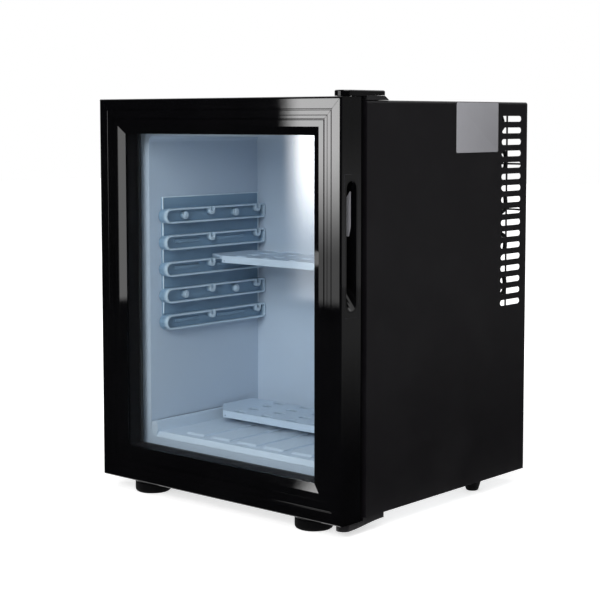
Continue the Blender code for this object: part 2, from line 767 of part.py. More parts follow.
def top_hinge():
    rear = HINGE_Y + STRAP_LENGTH
    plate_z = DOOR_TOP + BUSH_FLANGE_THICKNESS + 2 * CLEAR
    plate_top = plate_z + STRAP_PLATE
    cover_top = plate_z + COVER_HEIGHT
    room = COVER_WALL + CLEAR
    front = CABINET_Y + PAD_SETBACK
    side = [(front, TOP_Z + CLEAR), (front, plate_z - CLEAR), (rear, plate_z - CLEAR)]
    side += [(rear + PAD_REAR_SLOPE, TOP_Z + CLEAR)]
    pad = prism("top_hinge_pad", [side], HINGE_X - STRAP_RADIUS, HINGE_X + STRAP_RADIUS, along_x)
    plate = loft("top_hinge_plate", [strap(room, plate_z, rear), strap(room, plate_top, rear)])
    hole = PIN_RADIUS + CLEAR
    cut(plate, cylinder("plate_hole", HINGE_X, HINGE_Y, hole, plate_z - SHEET, plate_top + SHEET, 20))
    head = plate_top + CLEAR
    profile = [(PIN_RADIUS, DOOR_TOP - PIN_REACH), (PIN_RADIUS, head), (PIN_HEAD_RADIUS, head)]
    profile += [(PIN_HEAD_RADIUS, head + PIN_HEAD)]
    pin = turned("top_hinge_pin", HINGE_X, HINGE_Y, profile, 20)
    cover = loft(
        "top_hinge_cover",
        [
            strap(COVER_WALL, cover_top - COVER_WALL, rear),
            strap(COVER_WALL, plate_z, rear),
            strap(0, plate_z, rear),
            strap(0, cover_top - COVER_BEVEL, rear),
            strap(COVER_BEVEL, cover_top, rear),
        ],
    )
    low = DOOR_TOP + 2 * CLEAR
    end = front - CLEAR
    skirt = loft("cover_skirt", [strap(0, low, end), strap(0, plate_z + COVER_WALL, end)])
    beyond = end + 2 * COVER_WALL
    inside = [strap(COVER_WALL, low - SHEET, beyond), strap(COVER_WALL, plate_z + 2 * COVER_WALL, beyond)]
    cut(skirt, loft("skirt_hollow", inside))
    join(cover, skirt)
    return [
        finish(pad, "black_plastic"),
        finish(plate, "steel"),
        finish(pin, "steel"),
        finish(cover, "black_gloss"),
    ]


def bottom_hinge():
    """A cast bracket whose underside sweeps down to the boss that carries the door's pin."""
    rear = HINGE_Y + STRAP_LENGTH + BRACKET_EXTRA
    nose = HINGE_Y - STRAP_RADIUS - CLEAR
    seat = DOOR_Z - BUSH_FLANGE_THICKNESS - 2 * CLEAR
    under = BASE_Z - CLEAR
    low = under - BRACKET_THICKNESS
    boss = low - BRACKET_NOSE_DROP
    step = CABINET_Y - GASKET_GAP / 6
    side = [(rear, low), (rear, under), (step, under), (step, seat), (nose, seat), (nose, boss)]
    start = HINGE_Y
    wide = STRAP_RADIUS
    for i in range(BRACKET_STEPS + 1):
        share = i / BRACKET_STEPS
        ease = share * share * (3 - 2 * share)
        side.append((start + (rear - start) * share * BRACKET_SWEEP_SHARE, boss + (low - boss) * ease))
    bracket = prism("bottom_hinge_bracket", [side], HINGE_X - 2 * wide, HINGE_X + 2 * wide, along_x)
    above = under + SHEET
    plan = [strap(BRACKET_INSET, z, rear) for z in (boss - SHEET, above)]
    boolean(bracket, loft("strap_plan", plan), "INTERSECT")
    floor = boss + 1.5 * SHEET
    hole = PIN_RADIUS + CLEAR
    cut(bracket, cylinder("pin_hole", HINGE_X, HINGE_Y, hole, floor, under, 20))
    profile = [(PIN_RADIUS, floor + CLEAR), (PIN_RADIUS, DOOR_Z + PIN_REACH)]
    pin = turned("bottom_hinge_pin", HINGE_X, HINGE_Y, profile, 20)
    return [finish(bracket, "black_plastic"), finish(pin, "steel")]


def hinge_bush(name, face, out):
    """A flanged sleeve in the door's edge. out is 1 for the top edge, -1 for the bottom."""
    depth = PIN_REACH + 3 * CLEAR
    bore = PIN_RADIUS + CLEAR
    flange = face + out * CLEAR
    outside = flange + out * BUSH_FLANGE_THICKNESS
    profile = [(BUSH_RADIUS, face - out * (depth + SHEET)), (BUSH_RADIUS, flange)]
    profile += [(BUSH_FLANGE, flange), (BUSH_FLANGE, outside), (bore, outside), (bore, face - out * depth)]
    return finish(turned(name, HINGE_X, HINGE_Y, profile, 20), "black_plastic")


def bush_cutter(face, out):
    depth = PIN_REACH + 3 * CLEAR + SHEET + CLEAR
    ends = sorted((face - out * depth, face + out * depth))
    return cylinder("bush_hole", HINGE_X, HINGE_Y, BUSH_RADIUS + CLEAR, ends[0], ends[1], 20)


# Door


def frame_section():
    """The frame's section as (inset from the door's edge, depth behind its front plane)."""
    first = FACET_1
    second = first + GROOVE_1
    third = second + FACET_2
    fourth = third + GROOVE_2
    lip = GLASS_FRONT - CLEAR
    outline = [(0, DOOR_THICKNESS)] + arc(EDGE_ROUND, EDGE_ROUND, EDGE_ROUND, 180, 270, 4)
    groove = [first + GROOVE_1 * share for share in (GROOVE_FLAT_START, GROOVE_FLAT_END)]
    outline += [(first, 0), (groove[0], GROOVE_DEPTH), (groove[1], GROOVE_DEPTH)]
    line = second + FACET_LINE
    outline += [(second, STEP_DEPTH), (line - LINE_WIDTH / 2, STEP_DEPTH), (line, STEP_DEPTH + LINE_DEPTH)]
    groove = [third + GROOVE_2 * share for share in (GROOVE_FLAT_START, GROOVE_FLAT_END)]
    deep = STEP_DEPTH + GROOVE_DEPTH
    outline += [(line + LINE_WIDTH / 2, STEP_DEPTH), (third, STEP_DEPTH)]
    outline += [(groove[0], deep), (groove[1], deep), (fourth, 2 * STEP_DEPTH)]
    outline += [(BEVEL_START, 3 * STEP_DEPTH), (OPENING_INSET, lip - LIP_THICKNESS), (OPENING_INSET, lip)]
    outline += [(POCKET_INSET, lip), (POCKET_INSET, TRIM_FRONT - CLEAR), (REBATE_INSET, TRIM_FRONT - CLEAR)]
    outline += [(REBATE_INSET, DOOR_THICKNESS)]
    return outline


def chamber():
    far = POCKET_INSET - FRAME_WALL
    back = TRIM_FRONT - CLEAR - FRAME_WALL
    return [(FRAME_WALL, FRAME_FRONT_WALL), (far, FRAME_FRONT_WALL), (far, back), (FRAME_WALL, back)]


def frame_member(name, edge):
    """One mitred bar of the frame with its hollow. edge is top, bottom, left or right."""
    mitre = CLEAR / math.sqrt(2)

    def at(inset, depth, end):
        y = FRONT_Y + depth
        if edge in ("top", "bottom"):
            z = DOOR_TOP - inset if edge == "top" else DOOR_Z + inset
            return (end * (HALF - inset - mitre), y, z)
        x = HALF - inset if edge == "right" else inset - HALF
        return (x, y, DOOR_TOP - inset - mitre if end > 0 else DOOR_Z + inset + mitre)

    return prism(name, [frame_section(), chamber()], -1, 1, at)


def recess_outline(inset, short=0.0):
    """The finger recess seen from the door's side, as (y, z): a tall hole with round ends."""
    centre = FRONT_Y + RECESS_FRONT + RECESS_WIDTH / 2
    radius = RECESS_WIDTH / 2 - inset
    low = DOOR_Z + RECESS_LOW + RECESS_WIDTH / 2
    high = DOOR_Z + RECESS_LOW + RECESS_HEIGHT - RECESS_WIDTH / 2
    return arc(centre, high, radius, 0, 180, 8) + arc(centre, low + short, radius, 180, 360, 8)


def finger_recess(name, side):
    """A thin cup let into the door's edge, scooped out at its lower end."""
    face = side * HALF
    deep = face - side * RECESS_DEPTH
    floor = deep + side * RECESS_WALL
    wall = CLEAR + RECESS_WALL
    rings = [
        [(deep, y, z) for y, z in recess_outline(CLEAR)],
        [(face, y, z) for y, z in recess_outline(CLEAR)],
        [(face, y, z) for y, z in recess_outline(wall)],
        [(floor, y, z) for y, z in recess_outline(wall + RECESS_TAPER, RECESS_SCOOP)],
    ]
    return finish(loft(name, rings), "black_plastic")


def side_member(name, side):
    member = frame_member(name, "right" if side > 0 else "left")
    ends = sorted((side * (HALF + SHEET), side * (HALF - RECESS_DEPTH - CLEAR)))
    return cut(member, prism("recess_hole", [recess_outline(0)], ends[0], ends[1], along_x))


def corner_key(name, side, upper):
    """An L-shaped key that fills the hollow bars on both sides of a mitre."""
    near = FRAME_WALL + CLEAR
    far = POCKET_INSET - FRAME_WALL - CLEAR
    outline = [(near, near), (KEY_ARM, near), (KEY_ARM, far), (far, far), (far, KEY_ARM), (near, KEY_ARM)]

    def at(a, b, depth):
        z = DOOR_TOP - b if upper else DOOR_Z + b
        return (side * (HALF - a), FRONT_Y + depth, z)

    back = TRIM_FRONT - CLEAR - FRAME_WALL
    return finish(prism(name, [outline], FRAME_FRONT_WALL + CLEAR, back - CLEAR, at), "aluminium")


def door_ring(name, section, corner, steps=2):
    """A ring round the door with this section, given as (inset, depth) points."""
    rings = []
    for inset, depth in section:
        outline = rounded(-HALF + inset, HALF - inset, DOOR_Z + inset, DOOR_TOP - inset, corner, steps)
        rings.append([(x, FRONT_Y + depth, z) for x, z in outline])
    return loft(name, rings, closed=True)


def glass_pane(name, depth):
    inset = POCKET_INSET + CLEAR
    outline = rounded(-HALF + inset, HALF - inset, DOOR_Z + inset, DOOR_TOP - inset, SHEET)
    return finish(prism(name, [outline], FRONT_Y + depth, FRONT_Y + depth + GLASS, along_y), "glass")


def door_pieces():
    pieces = [frame_member("door_frame_top", "top"), frame_member("door_frame_bottom", "bottom")]
    keys = [corner_key("corner_key_left_top", -1, True), corner_key("corner_key_left_bottom", -1, False)]
    for name, face, out in (("top", DOOR_TOP, 1), ("bottom", DOOR_Z, -1)):
        keys.append(corner_key("corner_key_right_" + name, 1, out > 0))
        cut(keys[-1], bush_cutter(face, out))
        cut(pieces[0 if out > 0 else 1], bush_cutter(face, out))
        keys.append(hinge_bush("hinge_bush_" + name, face, out))
    for name, side in (("left", -1), ("right", 1)):
        pieces.append(side_member("door_frame_" + name, side))
    for out, face in ((1, DOOR_TOP), (-1, DOOR_Z)):
        cut(pieces[-1], bush_cutter(face, out))
    for piece in pieces:
        finish(piece, "black_gloss")
    pieces += keys + [finger_recess("finger_recess_left", -1), finger_recess("finger_recess_right", 1)]
    near, far = POCKET_INSET + CLEAR, OPENING_INSET
    back = SPACER_FRONT + GLASS_CAVITY
    spacer = [(near, SPACER_FRONT), (far, SPACER_FRONT), (far, back), (near, back)]
    pieces.append(finish(door_ring("glass_spacer", spacer, SHEET), "black_plastic"))
    near = REBATE_INSET + CLEAR
    trim = [(near, TRIM_FRONT), (far, TRIM_FRONT), (far, DOOR_THICKNESS), (near, DOOR_THICKNESS)]
    pieces.append(finish(door_ring("inner_door_frame", trim, SHEET), "black_plastic"))
    pieces.append(finish(door_gasket(), "rubber"))
    return pieces + [glass_pane("outer_glass", GLASS_FRONT), glass_pane("inner_glass", INNER_GLASS_FRONT)]


def door_gasket():
    """A magnetic gasket: a foot on the door, a waist, and a head that meets the cabinet."""
    near = GASKET_INSET
    far = near + GASKET_WIDTH
    waist = (GASKET_WIDTH - GASKET_WAIST) / 2
    start = DOOR_THICKNESS + CLEAR
    stop = DOOR_THICKNESS + GASKET_GAP - CLEAR
    step = (stop - start) / 5
    section = [(near, start), (near, start + step), (near + waist, start + 2 * step)]
    section += [(near, stop - 2 * step), (near, stop), (far, stop), (far, stop - 2 * step)]
    section += [(far - waist, start + 2 * step), (far, start + step), (far, start)]
    return door_ring("door_gasket", section, 2 * SHEET)


# Shelves


def shelf(name, support, bevel_depth):
    """A lattice shelf with bevelled front corners and a skirt along its front edge."""
    half = INSIDE_X - SHELF_SIDE
    back = INSIDE_BACK - SHELF_BACK
    front = back - SHELF_DEPTH
    low = support + CLEAR
    top = low + SHELF_EDGE
    inner = half - SHELF_BEVEL
    bevel = front + bevel_depth
    outline = [(half, back), (half, bevel), (inner, front), (-inner, front), (-half, bevel), (-half, back)]
    slots = []
    for row in range(SLOT_ROWS):
        for column in range(SLOT_COLUMNS):
            x = (column - (SLOT_COLUMNS - 1) / 2) * SLOT_PITCH_X
            y = front + SLOT_FIRST + row * SLOT_PITCH_Y
            ends = (x - SLOT_LENGTH / 2, x + SLOT_LENGTH / 2, y - SLOT_WIDTH / 2, y + SLOT_WIDTH / 2)
            slots.append(rounded(*ends, SLOT_CORNER, 1))
    plate = prism(name, [outline] + slots, low, top, along_z)
    behind = front + SHELF_SKIRT
    join(plate, box("skirt", -inner, inner, front, behind, top - SHELF_HEIGHT, top - SHELF_EDGE / 2))
    for side in (-1, 1):
        x = side * (inner - SHELF_HOLE_INSET)
        z = top - SHELF_HOLE_DROP
        cut(plate, tube("skirt_hole", [(x, front - SHEET, z), (x, behind + SHEET, z)], SHELF_HOLE, 12))
    return finish(plate, "shelf_plastic")


# Cooling unit


def evaporator_span():
    """Lowest and highest reach of the evaporator in the wall behind the compartment."""
    high = TOP_Z - COIL_BELOW_TOP + COIL_DROP - COIL_BEND
    return high - (EVAPORATOR_PASSES - 1) * EVAPORATOR_PITCH - 3 * EVAPORATOR_RADIUS, high


def evaporator_levels():
    """Heights of the evaporator's first and last runs."""
    first = evaporator_span()[1] - 2 * EVAPORATOR_RADIUS
    return first, first - (EVAPORATOR_PASSES - 1) * EVAPORATOR_PITCH


def gas_pipe_place():
    """The gas pipe meets the absorber coil at its second left bend."""
    return COIL_LEFT - COIL_BEND, TOP_Z - COIL_BELOW_TOP - 4 * (COIL_DROP + 2 * COIL_BEND) + COIL_BEND


def pipe_passages():
    """Where pipes cross the foam and the rear panel, as (x, z, radius)."""
    first, _ = evaporator_levels()
    gas_x, gas_z = gas_pipe_place()
    return ((EVAPORATOR_HALF + SMALL_PIPE, first, SMALL_PIPE), (gas_x, gas_z, LIQUID_PIPE))


def absorber_coil():
    top = TOP_Z - COIL_BELOW_TOP
    path = serpentine(COIL_LEFT, COIL_RIGHT, PIPE_Y, top, COIL_PASSES, COIL_DROP, COIL_BEND)
    z = path[-1][2]
    end = VESSEL_Z + VESSEL_RADIUS + CLEAR
    turn = [path[-2], (COIL_TAIL_X, PIPE_Y, z), (COIL_TAIL_X, PIPE_Y, end)]
    path = path[:-1] + bent(turn, COIL_BEND)[1:]
    return finish(tube("absorber_coil", path, COIL_RADIUS), "black_pipe")


def absorber_vessel():
    z = VESSEL_Z
    rings = []
    ends = ((VESSEL_LEFT, 1), (VESSEL_RIGHT, -1))
    for x, inward in ends:
        dome = arc(0, 0, 1, 0, 90, 3)[:-1] if inward < 0 else arc(0, 0, 1, 90, 0, 3)[1:]
        for a, b in dome:
            centre = x + inward * VESSEL_DOME * (1 - b)
            radius = VESSEL_RADIUS * (VESSEL_END_SHARE + (1 - VESSEL_END_SHARE) * a)
            rings.append([(centre, PIPE_Y + c, z + d) for c, d in arc(0, 0, radius, 0, 360, 20)[:-1]])
    return finish(loft("absorber_vessel", rings, smooth=True), "black_pipe")


def boiler():
    """The boiler tube and the heater cartridge, side by side in an insulating jacket."""
    y = BAY_Y + BOILER_SETBACK
    low = BASE_Z + JACKET_LOW
    top = low + JACKET_HEIGHT
    profile = [(JACKET_RADIUS - SHEET, low), (JACKET_RADIUS, low + SHEET)]
    profile += [(JACKET_RADIUS, top - SHEET), (JACKET_RADIUS - SHEET, top)]
    jacket = turned("boiler_jacket", BOILER_X, y, profile, 32)
    cut(jacket, cylinder("boiler_bore", BOILER_X, y, BOILER_RADIUS + CLEAR, low - SHEET, top + SHEET, 20))
    heater_x = BOILER_X + HEATER_OFFSET
    heater_low = top - HEATER_HEIGHT
    bore = HEATER_RADIUS + CLEAR
    cut(jacket, cylinder("heater_bore", heater_x, y, bore, heater_low - CLEAR, top + SHEET, 16))
    start = BASE_Z + BOILER_LOW
    tube_ = cylinder("boiler_tube", BOILER_X, y, BOILER_RADIUS, start, start + BOILER_HEIGHT, 20)
    heater = cylinder("heater_cartridge", heater_x, y, HEATER_RADIUS, heater_low, top + 5 * SHEET, 16)
    return [finish(jacket, "zinc"), finish(tube_, "black_pipe"), finish(heater, "steel")]


def rectifier_pipe():
    y = BAY_Y + BOILER_SETBACK
    start = BASE_Z + BOILER_LOW + BOILER_HEIGHT + CLEAR
    z = TOP_Z - CONDENSER_BELOW_TOP
    end = FIN_FIRST - FIN_PITCH / 2
    route = [(BOILER_X, y, start), (BOILER_X, y, z), (end - CLEAR, y, z)]
    return finish(tube("rectifier_pipe", bent(route, RECTIFIER_BEND), RECTIFIER_RADIUS), "black_pipe")


def condenser():
    """A pipe with square cooling fins along it, falling gently to the right."""
    y = BAY_Y + BOILER_SETBACK
    z = TOP_Z - CONDENSER_BELOW_TOP
    left = FIN_FIRST - FIN_PITCH / 2
    fall = CONDENSER_DROP / (CONDENSER_RIGHT - left)
    pipe = tube("condenser", [(left, y, z), (CONDENSER_RIGHT, y, z - CONDENSER_DROP)], CONDENSER_RADIUS, 12)
    half = FIN_SIZE / 2
    for i in range(FIN_COUNT):
        x = FIN_FIRST + i * FIN_PITCH
        middle = z - fall * (x - left)
        outline = rounded(y - half, y + half, middle - half, middle + half, 2 * SHEET, 1)
        join(pipe, prism("fin", [outline], x - FIN_THICKNESS / 2, x + FIN_THICKNESS / 2, along_x))
    return finish(pipe, "aluminium")


def condensate_pipe():
    """From the condenser's low end, forward and through the rear panel to the evaporator."""
    y = BAY_Y + BOILER_SETBACK
    z = TOP_Z - CONDENSER_BELOW_TOP - CONDENSER_DROP
    x, level, _ = pipe_passages()[0]
    middle = (PANEL_BACK + PIPE_Y - COIL_RADIUS) / 2
    far = CONDENSER_RIGHT + 2 * SMALL_BEND
    route = [(CONDENSER_RIGHT + CLEAR, y, z), (far, y, z), (far, middle, z), (far, middle, level)]
    route += [(x, middle, level), (x, EVAPORATOR_Y + EVAPORATOR_RADIUS + CLEAR, level)]
    path = bent(route, CONDENSATE_BEND, 4)
    return finish(tube("condensate_pipe", path, SMALL_PIPE), "black_pipe")


def evaporator():
    first, _ = evaporator_levels()
    half = EVAPORATOR_HALF
    bend = EVAPORATOR_PITCH / 2
    path = serpentine(-half, half, EVAPORATOR_Y, first, EVAPORATOR_PASSES, 0, bend, 5)
    path = [(-x, y, z) for x, y, z in path]
    path[0] = (half + 3 * SMALL_PIPE, path[0][1], path[0][2])
    gas_x, gas_z = gas_pipe_place()
    path[-1] = (max(gas_x - SMALL_PIPE, -half - bend), path[-1][1], path[-1][2])
    coil = finish(tube("evaporator_coil", path, EVAPORATOR_RADIUS, 8), "black_pipe")
    low, high = evaporator_span()
    margin = EVAPORATOR_MARGIN
    start = INSIDE_BACK + LINER_WALL + CLEAR
    plate = box(
        "evaporator_plate", -half - margin, half + margin, start, start + EVAPORATOR_PLATE, low, high
    )
    return [coil, finish(plate, "aluminium")]


def gas_pipe():
    x, z = gas_pipe_place()
    start = EVAPORATOR_Y + EVAPORATOR_RADIUS + CLEAR
    stop = PIPE_Y - COIL_RADIUS - CLEAR
    return finish(tube("gas_pipe", [(x, start, z), (x, stop, z)], LIQUID_PIPE), "black_pipe")


def liquid_pipe():
    """Rich solution runs from under the vessel back to the foot of the boiler."""
    y = BAY_Y + BOILER_SETBACK
    top = BASE_Z + BOILER_LOW - CLEAR
    low = BASE_Z + LIQUID_PIPE + 2 * SHEET
    x = COIL_TAIL_X
    vessel = VESSEL_Z - VESSEL_RADIUS - CLEAR
    route = [(BOILER_X, y, top), (BOILER_X, y, low), (x, PIPE_Y, low), (x, PIPE_Y, vessel)]
    return finish(tube("liquid_pipe", bent(route, SMALL_BEND, 4), LIQUID_PIPE), "black_pipe")


def return_pipe():
    """Weak solution runs from the top of the boiler's jacket up to the absorber coil."""
    x = BOILER_X + RETURN_OFFSET
    start = BASE_Z + JACKET_LOW + JACKET_HEIGHT + CLEAR
    z = TOP_Z - COIL_BELOW_TOP
    route = [(x, PIPE_Y, start), (x, PIPE_Y, z), (COIL_LEFT - CLEAR, PIPE_Y, z)]
    return finish(tube("return_pipe", bent(route, COIL_BEND), SMALL_PIPE), "black_pipe")


def hat_bracket(name, x):
    """A folded sheet bracket that holds the coil's runs off the rear panel."""
    high = TOP_Z - COIL_BELOW_TOP + HAT_MARGIN
    low = VESSEL_Z + VESSEL_RADIUS + 3 * HAT_MARGIN
    wide = HAT_WIDTH / 2
    foot = wide + HAT_FLANGE
    base = PANEL_BACK + CLEAR
    crown = PIPE_Y - COIL_RADIUS - CLEAR
    t = HAT_SHEET
    half = [(foot, base), (foot, base + t), (wide, base + t), (wide, crown)]
    inner = [(wide - t, crown - t), (wide - t, base)]
    outline = [(x + a, b) for a, b in half] + [(x - a, b) for a, b in reversed(half)]
    outline += [(x - a, b) for a, b in reversed(inner)] + [(x + a, b) for a, b in inner]
    return finish(prism(name, [outline], low, high, along_z), "zinc")


def control_box():
    """The electrical box on the rear panel, with the socket for a mains lead on its back."""
    front = PANEL_BACK + CLEAR
    back = front + BOX_DEPTH
    low = BASE_Z + BOX_LOW
    right = BOX_LEFT + BOX_WIDTH
    outline = rounded(BOX_LEFT, right, low, low + BOX_HEIGHT, 2 * BOX_WALL, 2)
    body = prism("control_box", [outline], front, back, along_y)
    x = (BOX_LEFT + right) / 2
    z = low + BOX_HEIGHT / 2

    def socket(inset, y):
        wide = INLET_WIDTH / 2 - inset
        high = INLET_HEIGHT / 2 - inset
        corner = 2 * INLET_WALL - inset
        return [(a, y, b) for a, b in rounded(x - wide, x + wide, z - high, z + high, corner, 2)]

    start = back + CLEAR
    stop = start + INLET_DEPTH
    rings = [socket(0, start), socket(0, stop), socket(INLET_WALL, stop)]
    rings.append(socket(INLET_WALL, start + INLET_WALL))
    return [finish(body, "black_plastic"), finish(loft("mains_inlet", rings), "black_plastic")]


def main():
    clear_scene()
    cabinet = [outer_shell(), base_plate(), foam_insulation(), inner_liner(), rear_panel(), floor_tray()]
    cabinet += [rail("rail_left", -1), rail("rail_right", 1)] + top_hinge() + bottom_hinge()
    cabinet += [rear_foot("rear_foot_left", -1), rear_foot("rear_foot_right", 1)]
    cabinet += [foot_bracket("foot_bracket_left", -1), foot_bracket("foot_bracket_right", 1)]
    cabinet += boiler() + evaporator() + control_box()
    cabinet += [rectifier_pipe(), condenser(), condensate_pipe(), gas_pipe(), liquid_pipe()]
    cabinet += [return_pipe()]
    cabinet += [absorber_coil(), absorber_vessel()]
    for name, x in zip(("pipe_bracket_left", "pipe_bracket_right"), HAT_PLACES):
        cabinet.append(hat_bracket(name, x))
    hang(cabinet, "cabinet", Vector((0, 0, 0)))
    hang(door_pieces(), "door_axis", Vector((HINGE_X, HINGE_Y, DOOR_Z)))
    rib_top = INSIDE_FLOOR + RIB_LOWEST + SHELF_RIB * RIB_PITCH + RIB_HEIGHT
    shelves = (("upper_shelf", rib_top, UPPER_BEVEL_DEPTH), ("lower_shelf", LEDGE_TOP, LOWER_BEVEL_DEPTH))
    for name, support, bevel_depth in shelves:
        hang([shelf(name, support, bevel_depth)], name + "_runner", Vector((0, INSIDE_BACK, support)))
    for name, side in (("front_foot_left", -1), ("front_foot_right", 1)):
        x, y = front_foot_place(side)
        hang([front_foot(name, side)], name + "_axis", Vector((x, y, 0)))


main()
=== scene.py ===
"""The minibar fridge dressed for its picture: finishes, small fittings, camera and light.

Lengths are in metres, with X to the right of a viewer in front of the door, Y to the back
and Z up. A side of 1 is the right one and a side of -1 the left one, unless it says otherwise.
"""

import math

import bmesh
import bpy
from mathutils import Matrix, Vector

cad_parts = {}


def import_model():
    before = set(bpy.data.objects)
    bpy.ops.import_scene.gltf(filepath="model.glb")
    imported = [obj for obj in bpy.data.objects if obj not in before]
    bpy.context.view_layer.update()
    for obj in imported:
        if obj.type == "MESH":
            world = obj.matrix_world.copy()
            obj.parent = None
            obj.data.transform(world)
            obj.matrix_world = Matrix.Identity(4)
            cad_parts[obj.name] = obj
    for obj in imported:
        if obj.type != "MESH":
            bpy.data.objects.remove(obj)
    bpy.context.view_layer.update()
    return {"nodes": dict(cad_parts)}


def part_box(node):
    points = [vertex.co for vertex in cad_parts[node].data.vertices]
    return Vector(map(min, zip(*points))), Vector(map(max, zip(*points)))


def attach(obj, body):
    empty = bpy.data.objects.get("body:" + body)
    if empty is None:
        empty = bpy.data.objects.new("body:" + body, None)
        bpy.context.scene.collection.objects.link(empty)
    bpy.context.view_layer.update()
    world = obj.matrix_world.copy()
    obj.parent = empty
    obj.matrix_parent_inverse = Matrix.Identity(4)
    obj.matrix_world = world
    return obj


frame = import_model()
nodes = frame["nodes"]

# Camera, as solved from the photograph's straight edges
CAMERA_PLACE = (1.2642, -1.4731, 0.4753)
CAMERA_TURN = (84.972, 0.041, 41.177)
CAMERA_LENS = 90.64
CAMERA_SENSOR = 36.0
CAMERA_SHIFT = -0.08

# World and floor
WORLD_LIGHT = 0.32
WORLD_SEEN = 1.0
FLOOR_HALF = 8.0
FLOOR_GLOW = 0.62
FLOOR_NEAR = 0.42
FLOOR_FAR = 0.95

# Shelf rails
RAIL_SIDES = (("rail_left", 1), ("rail_right", -1))  # the side that each rail faces
# width of the painted highlight line along each rail's top and back edge
RAIL_HIGHLIGHT_LINE = 0.0011
RAIL_PLATE = 0.0025
RAIL_BOSSES_Y = (0.0049, -0.0905)
RAIL_BOSSES_Z = (0.2476, 0.3508)
RAIL_EDGE_WIDTH = 0.0013
RIB_HOLLOW = 0.0080
RIB_MIDDLE = 0.0107
RIB_PITCH = 0.0344
RIBS_WITH_PADS = (0, 2, 3)
PAD_SPANS_Y = ((-0.1065, -0.0632), (-0.0300, 0.0238))

# Rear bay
BEND_FIRST_Z = 0.2637
BEND_PITCH = 0.0529
BENDS_PASSED = 4
CAPILLARY_X = 0.1915
CAPILLARY_RADIUS = 0.0028
CAPILLARY_ENTRY = (0.189, 0.488)  # x and z in the rear panel
GUARD_HEIGHTS = (0.4176, 0.3588)
GUARD_RADIUS = 0.0013
SHELL_INSIDE = 0.0011

# Finger recesses
RECESS_SIDES = (("finger_recess_left", -1), ("finger_recess_right", 1))
# the slanted rib in each recess, whose light grey is a painted reflection
REFLECTION_RIB_BACK = 0.0015
REFLECTION_RIB_SLANT = 0.0030
REFLECTION_RIB_REACH = 0.0140
RIM_LINE = 0.0005

scene = bpy.context.scene
scene.view_settings.view_transform = "Standard"


# Node helpers


class Shader:
    """Builds one node material. Its coordinates are the object's own, in metres."""

    def __init__(self, name):
        self.material = bpy.data.materials.new(name)
        self.material.use_nodes = True
        self.tree = self.material.node_tree
        self.surface = self.tree.nodes["Principled BSDF"]
        self.output = self.tree.nodes["Material Output"]
        self.place = self.add("ShaderNodeTexCoord").outputs["Object"]

    def add(self, kind, **values):
        node = self.tree.nodes.new(kind)
        for key, value in values.items():
            setattr(node, key, value)
        return node

    def join(self, start, end):
        self.tree.links.new(start, end)

    def stretched(self, scale):
        node = self.add("ShaderNodeMapping")
        node.inputs["Scale"].default_value = scale
        self.join(self.place, node.inputs["Vector"])
        return node.outputs["Vector"]

    def noise(self, scale, detail=4.0, rough=0.55, stretch=None):
        node = self.add("ShaderNodeTexNoise")
        node.inputs["Scale"].default_value = scale
        node.inputs["Detail"].default_value = detail
        node.inputs["Roughness"].default_value = rough
        self.join(self.stretched(stretch) if stretch else self.place, node.inputs["Vector"])
        return node.outputs["Fac"]

    def cells(self, scale, output="Distance"):
        node = self.add("ShaderNodeTexVoronoi")
        node.inputs["Scale"].default_value = scale
        self.join(self.place, node.inputs["Vector"])
        return node.outputs[output]

    def spread(self, value, low, high, out_low=0.0, out_high=1.0, smooth=False):
        """Maps low to out_low and high to out_high, and clamps beyond them."""
        node = self.add("ShaderNodeMapRange")
        if smooth:
            node.interpolation_type = "SMOOTHSTEP"
        node.inputs["From Min"].default_value = low
        node.inputs["From Max"].default_value = high
        node.inputs["To Min"].default_value = out_low
        node.inputs["To Max"].default_value = out_high
        self.join(value, node.inputs["Value"])
        return node.outputs["Result"]

    def math(self, operation, a, b):
        """One Math node. Each of a and b is a number or a socket."""
        node = self.add("ShaderNodeMath", operation=operation)
        for socket, value in zip(node.inputs, (a, b)):
            if isinstance(value, (int, float)):
                socket.default_value = value
            else:
                self.join(value, socket)
        return node.outputs["Value"]

    def axis(self, name):
        node = self.add("ShaderNodeSeparateXYZ")
        self.join(self.place, node.inputs["Vector"])
        return node.outputs[name]

    def off_middle(self):
        """The distance from the plane through the part's middle, left to right."""
        return self.math("ABSOLUTE", self.axis("X"), 0.0)

    def blend(self, factor, a, b):
        """Colour a where factor is 0, b where it is 1. Each is a colour or a socket."""
        node = self.add("ShaderNodeMix", data_type="RGBA")
        self.join(factor, node.inputs[0])
        for socket, value in ((node.inputs[6], a), (node.inputs[7], b)):
            if isinstance(value, tuple):
                socket.default_value = (*value, 1)
            else:
                self.join(value, socket)
        return node.outputs[2]

    def colour(self, socket):
        self.join(socket, self.surface.inputs["Base Color"])

    def rough(self, socket):
        self.join(socket, self.surface.inputs["Roughness"])

    def relief(self, height, depth, strength=1.0):
        node = self.add("ShaderNodeBump")
        node.inputs["Strength"].default_value = strength
        node.inputs["Distance"].default_value = depth
        self.join(height, node.inputs["Height"])
        self.join(node.outputs["Normal"], self.surface.inputs["Normal"])

    def set(self, **values):
        for key, value in values.items():
            self.surface.inputs[key.replace("_", " ")].default_value = value
        return self


def shade(colour, factor):
    return tuple(min(1.0, c * factor) for c in colour)


def dust(shader, base, amount):
    """A thin uneven film of handling marks over the base colour."""
    film = shader.spread(shader.noise(9.0, 8.0, 0.65), 0.48, 0.72, 0.0, amount)
    return shader.blend(film, base, (0.30, 0.30, 0.31))


# Materials


